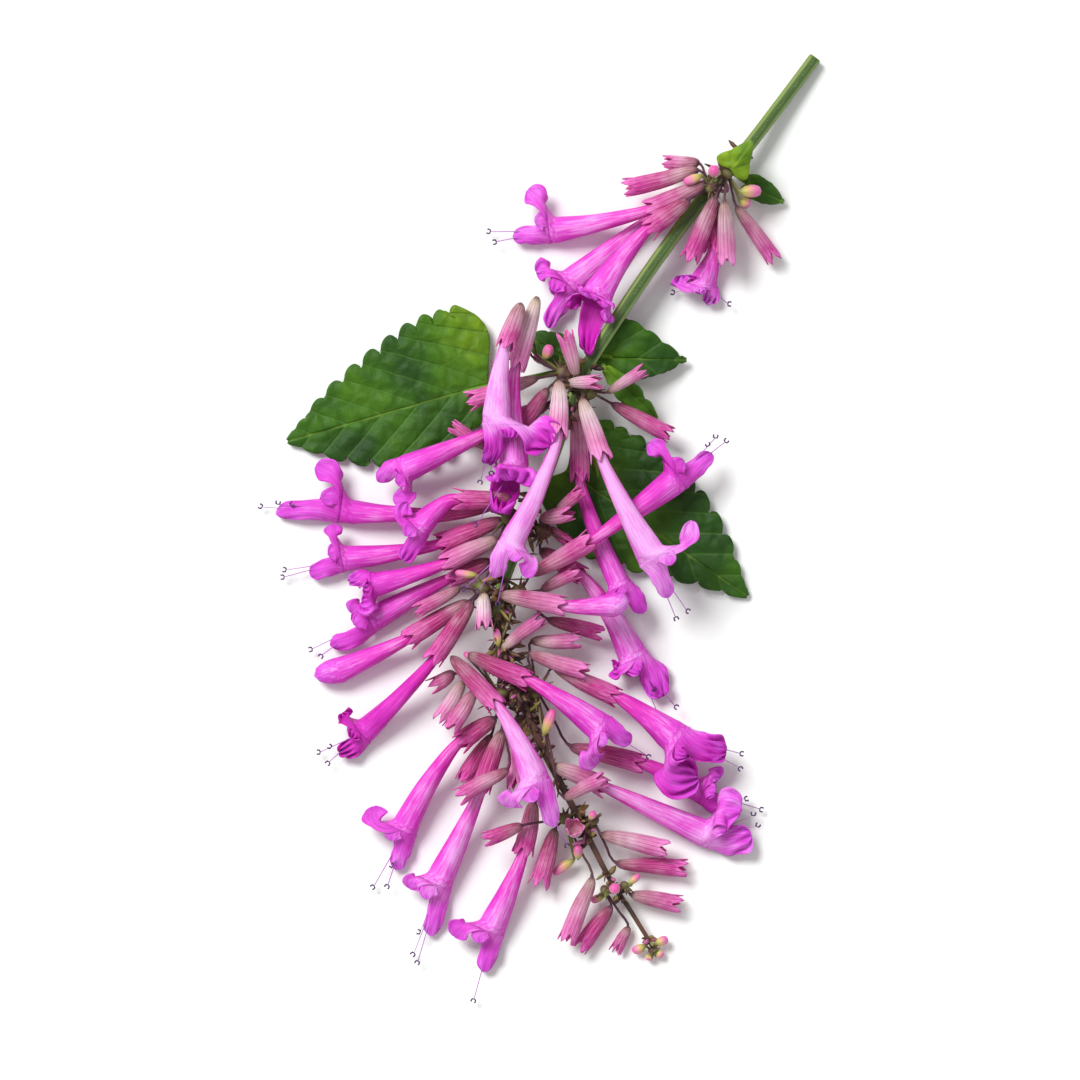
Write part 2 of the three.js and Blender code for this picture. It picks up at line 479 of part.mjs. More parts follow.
function leafSolid(leaf, grow = 0) {
  const [base, blade, tip] = [besideStem(at(leaf.base), LEAF_STALK), at(leaf.blade), at(leaf.tip)];
  const reach = tip.clone().sub(blade);
  const right = reach.clone().cross(UP).normalize();
  const steps = leaf.scallops * SCALLOP.steps;
  const across = leaf.scallops > 6 ? 3 : 2;
  const rise = (u) => 4 * leaf.arch * u * (1 - u);
  const widths = [leaf.left, leaf.right].map((half) => new THREE.SplineCurve(
    [...half, 0].map((w, quarter) => new THREE.Vector2(quarter / 4, w))));
  const body = placedBlade(steps, across, (step, v, face) => {
    const u = 0.995 * step;
    const out = Math.abs(v);
    const width = widths[v < 0 ? 0 : 1].getPoint(u).y;
    const notched = Math.round(step * steps) % SCALLOP.steps === 0;
    const notch = 1 - (notched ? SCALLOP.depth * out ** 6 : 0);
    const heart = HEART.corners * out ** 4 - HEART.sides * Math.sin(Math.PI * out ** 1.5);
    const height = rise(u) + leaf.fold * out * width;
    return blade.clone().addScaledVector(reach, u + heart * (1 - u) ** 6)
      .addScaledVector(right, v * width * notch)
      .addScaledVector(UP, height + (face ? LEAF + grow : -grow));
  });
  const inBlade = blade.clone().addScaledVector(reach, MIDRIB.share)
    .addScaledVector(UP, rise(MIDRIB.share) + MIDRIB.height);
  const stalk = rod([base, base.clone().lerp(blade, 0.5), inBlade],
    [[0, LEAF_STALK + grow], [1, MIDRIB.radius + grow]], 5);
  return body.add(stalk);
}

// A bud on its stalk, with a blunt end.
const BUD = { stalk: 0.25, sides: 4, belly: 0.6, blunt: 0.6 };

function budSolid(knob, foot, tip, radius, grow) {
  const ring = bentRings(knob, foot, tip);
  const along = (share) => foot.clone().lerp(tip, share);
  return placedLathe(6, evenAngles(BUD.sides), (angle, row) =>
    [
      () => knob.clone(),
      () => ring("stalk", knob.clone().lerp(foot, KNOB_SHARE), BUD.stalk + grow, angle),
      () => ring("foot", foot, BUD.stalk + grow, angle),
      () => ring("end", along(BUD.belly), radius + grow, angle),
      () => ring("end", along(0.92), BUD.blunt * radius + grow, angle),
      () => tip.clone(),
    ][row]());
}

function cymeSolid(cyme, grow = 0) {
  const knob = besideStem(at(cyme.knob), cyme.size);
  const ball = new THREE.IcosahedronGeometry(cyme.size + grow, 0).translate(knob.x, knob.y, knob.z);
  const ownBlooms = cyme.blooms.map((name) => BLOOMS.find((bloom) => bloom.name === name));
  return wasm.Manifold.union([
    solidFrom(ball),
    ...ownBlooms.map((bloom) => calyxSolid(knob, at(bloom.foot), at(bloom.mouth), BLOOM_CALYX, grow)),
    ...cyme.calyces.map(([foot, mouth, radius]) => calyxSolid(knob, at(foot), at(mouth), radius, grow)),
    ...cyme.buds.map(([foot, tip, radius]) => budSolid(knob, at(foot), at(tip), radius, grow)),
  ]);
}

// Where two pieces would cross, the later one is cut back to the clearance of the earlier one.
// Everything ends flat where it meets the surface that the stem lies on.
const placed = [];

function place(name, colour, shape) {
  let kept = shape(0);
  for (const other of placed) {
    if (kept.intersect(other.solid).volume() < CROSSING) continue;
    kept = kept.subtract(other.shape(GAP));
  }
  kept = kept.trimByPlane([0, 0, 1], 0);
  const largestFirst = kept.decompose().sort((a, b) => b.volume() - a.volume());
  placed.push({ name, colour, shape, solid: largestFirst[0] });
}

place("stem", "stem", stemSolid);
const byHeight = [...BLOOMS].sort((a, b) => b.throat[2] - a.throat[2]);
for (const bloom of byHeight)
  place(`corolla_${bloom.name}`, "corolla", (grow) =>
    wasm.Manifold.union([corollaSolid(bloom, grow), ...stamenSolids(bloom, grow)]));
for (const cyme of CYMES) place(cyme.name, "calyx", (grow) => cymeSolid(cyme, grow));
for (const leaf of LEAVES) place(leaf.name, "leaf", (grow) => leafSolid(leaf, grow));

// Each solid as a named mesh, and the whole moved so that the origin is under its middle.
const sprig = new THREE.Group();
for (const { name, colour, solid } of placed) {
  const { vertProperties, triVerts } = solid.getMesh();
  const geometry = new THREE.BufferGeometry()
    .setAttribute("position", new THREE.BufferAttribute(vertProperties, 3))
    .setIndex(new THREE.BufferAttribute(triVerts, 1));
  geometry.computeVertexNormals();
  const material = new THREE.MeshStandardMaterial({ ...COLOURS[colour], metalness: 0 });
  const mesh = new THREE.Mesh(geometry, material);
  mesh.name = name;
  sprig.add(mesh);
}
const middle = new THREE.Box3().setFromObject(sprig, true).getCenter(new THREE.Vector3());
sprig.position.set(-middle.x, -middle.y, 0);

export default sprig;
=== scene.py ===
"""A cut flowering stem of Texas hummingbird mint, lying on a white table, seen from above."""
import math
import random

import bmesh
import bpy
from mathutils import Matrix, Vector, geometry, noise


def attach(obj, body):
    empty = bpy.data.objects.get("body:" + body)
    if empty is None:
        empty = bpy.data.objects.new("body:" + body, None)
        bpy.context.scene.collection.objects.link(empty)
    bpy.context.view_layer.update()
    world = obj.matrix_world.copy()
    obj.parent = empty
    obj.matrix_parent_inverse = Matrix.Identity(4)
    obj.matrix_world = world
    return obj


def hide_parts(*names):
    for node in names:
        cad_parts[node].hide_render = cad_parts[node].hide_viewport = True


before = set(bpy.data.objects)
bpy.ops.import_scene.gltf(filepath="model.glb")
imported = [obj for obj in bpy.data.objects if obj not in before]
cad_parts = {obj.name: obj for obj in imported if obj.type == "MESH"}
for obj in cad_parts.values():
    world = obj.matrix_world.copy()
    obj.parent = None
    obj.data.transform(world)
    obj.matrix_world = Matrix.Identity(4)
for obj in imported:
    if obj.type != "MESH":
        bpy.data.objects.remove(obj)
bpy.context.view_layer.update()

# Camera: straight above the middle of the stem, and so far off that the stem is seen almost
# without perspective, as in the photograph.


def at(x, y, z):
    """A place by its pixel in the 1080 x 1080 photograph and its height in millimetres."""
    return Vector(((x - 541.009) / 8000, (526.632 - y) / 8000, z / 1000))


CAMERA_HEIGHT = 2000
FRAME_WIDTH = 0.135

lens = bpy.data.cameras.new("camera")
lens.sensor_width = 36
lens.lens = 36 * CAMERA_HEIGHT / 1000 / FRAME_WIDTH
camera = bpy.data.objects.new("camera", lens)
camera.location = at(540, 540, CAMERA_HEIGHT)
bpy.context.collection.objects.link(camera)
bpy.context.scene.camera = camera

# Light: an even white surround, with a large soft lamp at the upper left that lays faint
# shadows to the lower right. Plain colours, so that the table clears to white.
bpy.context.scene.view_settings.view_transform = "Standard"

world = bpy.data.worlds.new("studio")
world.use_nodes = True
world.node_tree.nodes["Background"].inputs["Color"].default_value = (1, 1, 1, 1)
world.node_tree.nodes["Background"].inputs["Strength"].default_value = 0.5
bpy.context.scene.world = world

lamp = bpy.data.lights.new("lamp", "SUN")
lamp.energy = 2.95
lamp.angle = math.radians(26)
lamp_object = bpy.data.objects.new("lamp", lamp)
lamp_object.rotation_euler = Vector((-0.55, 0.6, 1)).to_track_quat("Z", "Y").to_euler()
bpy.context.collection.objects.link(lamp_object)

# Table: a smooth white surface under the stem, which only catches its shadows. It is the floor
# of the picture and no part of the plant.


class Graph:
    """A material's node graph. Most calls add a node and return its output socket. A colour is
    such a socket or a number 0xRRGGBB."""

    def __init__(self, name, **settings):
        self.material = bpy.data.materials.new(name)
        self.material.use_nodes = True
        self.tree = self.material.node_tree
        self.surface = self.tree.nodes["Principled BSDF"]
        for socket, value in settings.items():
            socket = socket.replace("_", " ").title().replace("Ior", "IOR")
            self.put(self.surface.inputs[socket], value)

    def put(self, socket, value):
        if isinstance(value, bpy.types.NodeSocket):
            self.tree.links.new(value, socket)
        else:
            socket.default_value = srgb(value) if socket.type == "RGBA" else value

    def node(self, kind, output, settings, inputs):
        node = self.tree.nodes.new("ShaderNode" + kind)
        for key, value in settings.items():
            setattr(node, key, value)
        for key, value in inputs.items():
            self.put(node.inputs[key], value)
        return node.outputs[output]

    def math(self, operation, *values):
        return self.node("Math", 0, {"operation": operation}, dict(enumerate(values)))

    def mix(self, factor, a, b):
        return self.node("Mix", 2, {"data_type": "RGBA"}, {0: factor, 6: a, 7: b})

    def ramp(self, factor, stops, smooth=False):
        """A colour for each factor, from stops of (factor, colour)."""
        node = self.tree.nodes.new("ShaderNodeValToRGB")
        self.put(node.inputs[0], factor)
        band = node.color_ramp
        band.interpolation = "EASE" if smooth else "LINEAR"
        while len(band.elements) < len(stops):
            band.elements.new(1)
        for element, (position, colour) in zip(band.elements, stops):
            element.position, element.color = position, srgb(colour)
        return node.outputs[0]

    def mask(self, factor, none, full, smooth=False):
        """A grey that is 0 where the factor reaches none and 1 where it reaches full."""
        return self.ramp(factor, sorted([(none, 0x000000), (full, 0xFFFFFF)]), smooth)

    def cover(self, colour, mask, share, over):
        return self.mix(self.math("MULTIPLY", mask, share), colour, over)

    def noise(self, vector, scale, detail=2):
        return self.node("TexNoise", 0, {}, {"Vector": vector, "Scale": scale, "Detail": detail})

    def stretch(self, vector, scale):
        return self.node("Mapping", 0, {}, {"Vector": vector, "Scale": scale})

    def paint(self, colour):
        self.put(self.surface.inputs["Base Color"], colour)

    def relief(self, height, depth):
        bump = self.node("Bump", 0, {}, {"Height": height, "Distance": depth})
        self.put(self.surface.inputs["Normal"], bump)

    def parts(self, vector):
        """The three parts of a vector or colour."""
        node = self.tree.nodes.new("ShaderNodeSeparateXYZ")
        self.tree.links.new(vector, node.inputs[0])
        return node.outputs

    def tone(self):
        return self.parts(self.node("Attribute", "Color", {"attribute_name": "tone"}, {}))


def srgb(value):
    """A colour written as 0xRRGGBB, as the linear colour that a socket takes."""
    channels = [(value >> shift & 255) / 255 for shift in (16, 8, 0)]
    return (*(c / 12.92 if c < 0.04045 else ((c + 0.055) / 1.055) ** 2.4 for c in channels), 1)


table = Graph("table", base_color=0xFCFEFC, roughness=0.6, specular_ior_level=0.2)

bm = bmesh.new()
bmesh.ops.create_grid(bm, x_segments=1, y_segments=1, size=1)
table_mesh = bpy.data.meshes.new("table")
bm.to_mesh(table_mesh)
bm.free()
table_mesh.materials.append(table.material)
table_object = bpy.data.objects.new("table", table_mesh)
bpy.context.collection.objects.link(table_object)

# Stem: the square stem of a mint, with a rounded edge at each corner and sunken sides. Green
# where it was cut, thinner and purple-brown along the flower spike.
STEM_LINE = [
    (815, 58, 0.95), (780, 105, 1.8), (748, 147, 2.9), (722, 178, 3.4), (698, 205, 3.7),
    (650, 270, 4.2), (606, 336, 4.8), (584, 372, 5.2), (571, 404, 5.4), (548, 470, 5.5),
    (524, 530, 5.6), (501, 592, 5.6), (500, 640, 5.4), (520, 695, 5.2), (545, 752, 4.6),
    (582, 824, 3.6), (610, 879, 2.6), (629, 908, 2.1), (650, 942, 1.4),
]
STEM_RADIUS = [(0, 0.85), (0.2, 0.92), (0.62, 0.85), (0.8, 0.52), (0.92, 0.36), (1, 0.28)]
STEM_SQUARENESS = 0.09
STEM_ROWS, STEM_SIDES = 220, 32

MM = 0.001
UP = Vector((0, 0, 1))


class Path:
    """A smooth curve through points, centripetal Catmull-Rom, measured along its length."""

    def __init__(self, points):
        ends = [2 * points[0] - points[1], *points, 2 * points[-1] - points[-2]]
        self.places = [points[0]]
        for a, b, c, d in zip(ends, ends[1:], ends[2:], ends[3:]):
            ab, bc, cd = ((q - p).length ** 0.5 for p, q in ((a, b), (b, c), (c, d)))
            leave = (b - a) / ab - (c - a) / (ab + bc) + (c - b) / bc
            arrive = (c - b) / bc - (d - b) / (bc + cd) + (d - c) / cd
            self.places += geometry.interpolate_bezier(
                b, b + leave * bc / 3, c - arrive * bc / 3, c, 25)[1:]
        self.reached = [0.0]
        for p, q in zip(self.places, self.places[1:]):
            self.reached.append(self.reached[-1] + (q - p).length)
        self.length = self.reached[-1]

    def place(self, share):
        wished = min(max(share, 0), 1) * self.length
        k = next(i for i in range(1, len(self.reached)) if self.reached[i] >= wished - 1e-12)
        part = (wished - self.reached[k - 1]) / (self.reached[k] - self.reached[k - 1])
        return self.places[k - 1].lerp(self.places[k], part)

    def station(self, share, side):
        """The place at a share of the length, the way along, and two ways across."""
        along = (self.place(share + 0.01) - self.place(share - 0.01)).normalized()
        across = (side - along * side.dot(along)).normalized()
        return self.place(share), along, across, along.cross(across)


def ring_point(station, radius, angle):
    point, _, across, third = station
    return point + across * (radius * math.cos(angle)) + third * (radius * math.sin(angle))


def graded(stops, share):
    """Linear interpolation in a list of (share, value)."""
    for (s0, v0), (s1, v1) in zip(stops, stops[1:]):
        if share <= s1:
            return v0 + (v1 - v0) * (share - s0) / (s1 - s0)
    return stops[-1][1]


def new_skin_mesh():
    bm = bmesh.new()
    bm.loops.layers.uv.new("UVMap")
    bm.verts.layers.float_color.new("tone")
    return bm


SETTLE, REST = 0.45 * MM, 0.14 * MM  # a piece flattens below the first height, down to the second


def settled(place):
    if place.z < SETTLE:
        place.z = REST + (SETTLE - REST) * math.exp((place.z - SETTLE) / (SETTLE - REST))
    return place


def skin(bm, rows, sides, place, tone, material=0):
    """Adds a grid whose corners are placed by row number and by w, 0 to 1 across or around."""
    grid = bmesh.ops.create_grid(bm, x_segments=rows, y_segments=sides, size=0.5, calc_uvs=True)
    layer = bm.verts.layers.float_color["tone"]
    for vert in grid["verts"]:
        row, w = round((vert.co.x + 0.5) * rows), vert.co.y + 0.5
        vert.co = settled(place(row, w))
        vert[layer] = (*tone(row, w), 1)
        for face in vert.link_faces:
            face.material_index = material


def finished(name, bm, graphs):
    """The mesh as an object, its seams and poles closed."""
    bmesh.ops.remove_doubles(bm, verts=bm.verts, dist=1e-7)
    for face in bm.faces:
        face.smooth = True
    mesh = bpy.data.meshes.new(name)
    bm.to_mesh(mesh)
    bm.free()
    for graph in graphs:
        mesh.materials.append(graph.material)
    made = bpy.data.objects.new(name, mesh)
    bpy.context.collection.objects.link(made)
    return made


stem_path = Path([at(*p) for p in STEM_LINE])

stem_rows = [(0, 0), (0, 0.5), (0, 0.9), (0.001, 1)]
stem_rows += [((i + 1) / STEM_ROWS, 1) for i in range(STEM_ROWS)] + [(1, 0.6), (1, 0)]
stem_stations = [stem_path.station(share, UP) for share, _ in stem_rows]


def stem_place(row, w):
    share, shrink = stem_rows[row]
    angle = -2 * math.pi * w
    square = 1 - STEM_SQUARENESS * math.cos(4 * angle)
    return ring_point(stem_stations[row], graded(STEM_RADIUS, share) * MM * square * shrink, angle)


bm = new_skin_mesh()
skin(bm, len(stem_rows) - 1, STEM_SIDES, stem_place,
     lambda row, w: (stem_rows[row][0], stem_rows[row][1], w))

stem = Graph("stem", roughness=0.5)
along, full, around = stem.tone()
coords = stem.node("TexCoord", "Object", {}, {})
# Colour round the stem: the pale lines on the two upper ridges are painted highlight and the
# darker band on the sunken top face is painted shade; the purple-brown edge on one side is the
# stem's own colour.
sides = stem.ramp(around, [
    (0.0, 0x34501A), (0.07, 0x3C5A20), (0.13, 0x8FA862), (0.18, 0x4E6C2A),
    (0.35, 0x466224), (0.70, 0x445222), (0.77, 0x4E2E2C), (0.82, 0x6A7A2E),
    (0.90, 0x7C9438), (0.95, 0x4A6A26), (1.0, 0x34501A)])
grain = stem.noise(coords, 900, 4)
spike = stem.ramp(stem.noise(coords, 260, 4), [(0.3, 0x33201F), (0.7, 0x6A4038)])
colour = stem.mix(stem.mask(along, 0.60, 0.70), sides, spike)
colour = stem.cover(colour, grain, 0.25, 0x2E4418)
pith = stem.ramp(full, [(0.5, 0xD9DDB0), (0.95, 0x7E9A4A)])
cut = stem.math("LESS_THAN", along, 0.0005)
stem.paint(stem.mix(cut, colour, pith))
stem.relief(grain, 0.05 * MM)

stem_object = finished("stem_skin", bm, [stem])
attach(stem_object, "root")
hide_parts("stem")

# Leaves: thin green blades with rounded scallops, quilted between sunken veins, each on a short
# stalk that runs on under it as the midrib.
LEAVES = {
    # base, blade and tip: ends of the stalk and of the blade. right and left: half widths along
    # the blade in millimetres, and blunt the one at its tip. notch: depth between two scallops.
    # arch: rise of the midrib. fold: rise of the halves from it. yellow: how yellow the green is.
    "leaf_left": dict(
        base=(580, 368, 3.6), blade=(489, 384, 0.9), tip=(288, 441, 0.3),
        right=(10.6, 10.4, 8.2, 5), left=(3.6, 7, 7.3, 4.8), scallops=10, arch=0.3, fold=0.02,
        blunt=0.7, notch=1.6, yellow=0.34),
    "leaf_right_large": dict(
        base=(578, 386, 3.4), blade=(566, 470, 1.2), tip=(747, 596, 0.3),
        right=(5.6, 7.6, 5.8, 2.9), left=(8.2, 9, 8.3, 5.4), scallops=10, arch=0.3, fold=0.02,
        blunt=0.6, notch=1.5, yellow=0.24),
    "leaf_right_pointed": dict(
        base=(594, 356, 3), blade=(600, 358, 2.4), tip=(686, 360, 0.9),
        right=(1.2, 2.2, 2.4, 1.6), left=(3.6, 5, 3.9, 2), scallops=5, arch=0.5, fold=0.08,
        blunt=0.1, notch=0.25, yellow=0.3),
    "leaf_right_folded": dict(
        base=(598, 364, 4.6), blade=(608, 371, 4), tip=(656, 418, 1.6),
        right=(0.6, 1.5, 1.6, 1.2), left=(0.5, 1.1, 1.1, 0.8), scallops=4, arch=0.5, fold=0.3,
        blunt=0.2, notch=0.3, yellow=0.5),
    "leaf_behind_whorl": dict(
        base=(580, 362, 3.2), blade=(570, 360, 2.8), tip=(526, 336, 1.8),
        right=(1.6, 2.4, 2.2, 1.4), left=(1.2, 2.1, 2, 1.2), scallops=3, arch=0.4, fold=0.1,
        blunt=0.3, notch=0.4, yellow=0.4),
    "bract_leaf_upper": dict(
        base=(741, 160, 5.2), blade=(730, 170, 6.6), tip=(751, 143, 7.2),
        right=(2.2, 1.9, 1.3, 0.7), left=(2.1, 1.8, 1.2, 0.6), scallops=3, arch=0.4, fold=-0.25,
        blunt=0.1, notch=0.1, yellow=0.9),
    "bract_leaf_lower": dict(
        base=(734, 172, 2.2), blade=(746, 184, 1.8), tip=(783, 202, 0.8),
        right=(1.2, 1.5, 1.3, 0.8), left=(1.2, 1.6, 1.4, 0.8), scallops=3, arch=0.3, fold=0.12,
        blunt=0.1, notch=0.1, yellow=0.25),
}
LEAF_TOP = 0.5 * MM  # of the blade's upper side over the height that the table above gives
LEAF_THICKNESS = 0.25 * MM
LEAF_STALK = 0.4  # radius in millimetres
VEIN_GAP = 4.6 * MM  # between side veins, along the midrib
VEIN_SLOPE, VEIN_CURVE = 1.35, 25  # how a side vein runs forward as it goes outward
QUILT = 0.2 * MM  # rise of the blade between its veins
CLEAR = 0.3  # between a piece and the stem, in millimetres


def spline(values, share):
    """A uniform Catmull-Rom curve through evenly spaced values."""
    spans = len(values) - 1
    k = min(int(share * spans), spans - 1)
    t = share * spans - k
    a, b, c, d = (values[min(max(k + i, 0), spans)] for i in (-1, 0, 1, 2))
    leave, arrive = (c - a) / 2, (d - b) / 2
    return ((2 * b - 2 * c + leave + arrive) * t ** 3
            + (3 * c - 3 * b - 2 * leave - arrive) * t ** 2 + leave * t + b)


def stem_share(wished):
    return min((i / 400 for i in range(401)),
               key=lambda s: (stem_path.place(s) - wished).length)


def beside_stem(wished, radius):
    """Where a piece of some radius sits against the stem, on the side of a wished place."""
    share = stem_share(wished)
    axis = stem_path.place(share)
    reach = (graded(STEM_RADIUS, share) * 1.08 + CLEAR + radius) * MM
    return axis + (wished - axis).normalized() * reach


def rod(bm, points, radii, tone, sides=8, material=0):
    """A round rod along points, closed at both ends, its radius given at shares of its length."""
    path = Path(points)
    way = (points[-1] - points[0]).normalized()
    side = Vector((1, 0, 0)) if abs(way.z) > 0.8 else UP
    rows = [(0, 0)] + [(share, radius) for share, radius in radii] + [(1, 0)]
    stations = [path.station(share, side) for share, _ in rows]
    skin(bm, len(rows) - 1, sides,
         lambda row, w: ring_point(stations[row], rows[row][1] * MM, -2 * math.pi * w),
         lambda row, w: tone(rows[row][0]), material)


leaf_graph = Graph("leaf", roughness=0.55, specular_ior_level=0.22)
across_veins, out, yellow = leaf_graph.tone()
coords = leaf_graph.node("TexCoord", "Object", {}, {})
patches = leaf_graph.noise(coords, 110, 4)
lean = leaf_graph.math("ADD", yellow, leaf_graph.math("MULTIPLY_ADD", patches, 1.4, -0.7))
green = leaf_graph.ramp(lean, [
    (0.0, 0x16300F), (0.25, 0x274F14), (0.5, 0x3F6E12), (0.75, 0x5A8A14),
    (1.0, 0x86A81E)])
cells = leaf_graph.node("TexVoronoi", "Distance", {"feature": "DISTANCE_TO_EDGE"},
                        {"Vector": coords, "Scale": 400})
net = leaf_graph.mask(cells, 0.0, 0.3, smooth=True)
grain = leaf_graph.noise(coords, 1100, 4)
to_vein = leaf_graph.math("PINGPONG", across_veins, 0.5)
side_vein = leaf_graph.mask(to_vein, 0.12, 0.0, smooth=True)
midrib = leaf_graph.mask(out, 0.03, 0.0)
# Painted shade: the colour is darkened along the fine net of sunken veins, where its grooves lie.
colour = leaf_graph.mix(leaf_graph.math("MULTIPLY_ADD", net, -0.25, 0.25), green, 0x1E3E10)
colour = leaf_graph.cover(colour, grain, 0.3, 0x27440F)
colour = leaf_graph.cover(colour, side_vein, 0.3, 0x4E7A2C)
colour = leaf_graph.cover(colour, midrib, 0.4, 0x7FA23F)
leaf_graph.paint(colour)
veins = leaf_graph.math("MULTIPLY_ADD", side_vein, 0.5, midrib)
height = leaf_graph.math("ADD", leaf_graph.math("MULTIPLY", net, 0.9), grain)
height = leaf_graph.math("SUBTRACT", height, veins)
leaf_graph.relief(height, 0.13 * MM)

for name, leaf in LEAVES.items():
    base, blade, tip = (at(*leaf[key]) for key in ("base", "blade", "tip"))
    base = beside_stem(base, LEAF_STALK)
    reach = tip - blade
    right = reach.cross(UP).normalized()
    rows, columns = 16 * leaf["scallops"], 56
    halves = {key: [*leaf[key], leaf["blunt"]] for key in ("left", "right")}

    def rise(u):
        return 4 * leaf["arch"] * u * (1 - u) * MM

    def vein_number(u, sideways):
        forward = abs(sideways) * VEIN_SLOPE + sideways * sideways * VEIN_CURVE
        return (u * reach.length - forward) / VEIN_GAP

    def leaf_form(row, w):
        """Along, outward and sideways shares of a corner, and the distance out from the midrib."""
        u, v = 0.999 * row / rows, 2 * w - 1
        width = max(spline(halves["left" if v < 0 else "right"], u), 0.05) * MM
        width *= math.sqrt(1 - max(0, (u - 0.92) / 0.08) ** 2)
        part = (leaf["scallops"] * (u ** 0.9 + 0.03 * (v < 0))) % 1
        scallop = max(0, 1 - abs(2 * part ** 0.8 - 1) ** 2) ** 0.75
        notch = min(leaf["notch"] * MM, 0.25 * width) * abs(v) ** 5 * (1 - scallop)
        return u, abs(v), v * (width - notch), width

    def leaf_place(row, w):
        u, out, sideways, width = leaf_form(row, w)
        heart = 0.04 * out ** 4 - 0.07 * math.sin(math.pi * out ** 1.5)
        quilt = (QUILT * math.sin(math.pi * vein_number(u, sideways)) ** 2
                 * min(1, 8 * out * (1 - out), 8 * u) ** 0.5)
        height = rise(u) + leaf["fold"] * out * width + LEAF_TOP + quilt - QUILT / 2
        place = blade + reach * (u + heart * (1 - u) ** 6) + right * sideways
        wave = noise.noise(place * 120) * 0.25 * MM * out + noise.noise(place * 700) * 0.06 * MM
        return place + UP * (height + wave)

    def leaf_tone(row, w):
        u, out, sideways, _ = leaf_form(row, w)
        yellow = leaf["yellow"] + 0.06 * out ** 3 + 0.36 * max(0, 1 - 3.2 * u)
        return vein_number(u, sideways), abs(sideways) / (8 * MM), yellow

    bm = new_skin_mesh()
    skin(bm, rows, columns, leaf_place, leaf_tone)
    blade_object = finished(f"{name}_blade", bm, [leaf_graph])
    thick = blade_object.modifiers.new("thickness", "SOLIDIFY")
    thick.thickness, thick.offset = LEAF_THICKNESS, -1
    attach(blade_object, "root")
    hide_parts(name)

    bm = new_skin_mesh()
    in_blade = blade + reach * 0.12 + UP * (rise(0.12) + 0.2 * MM)
    rod(bm, [base, base.lerp(blade, 0.5), blade, in_blade, blade + reach * 0.8 + UP * rise(0.8)],
        [(0, 0.42), (0.5, 0.32), (1, 0.08)], lambda share: (0.5, 0, 0.8))
    stalk_object = finished(f"{name}_stalk", bm, [leaf_graph])
    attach(stalk_object, "root")
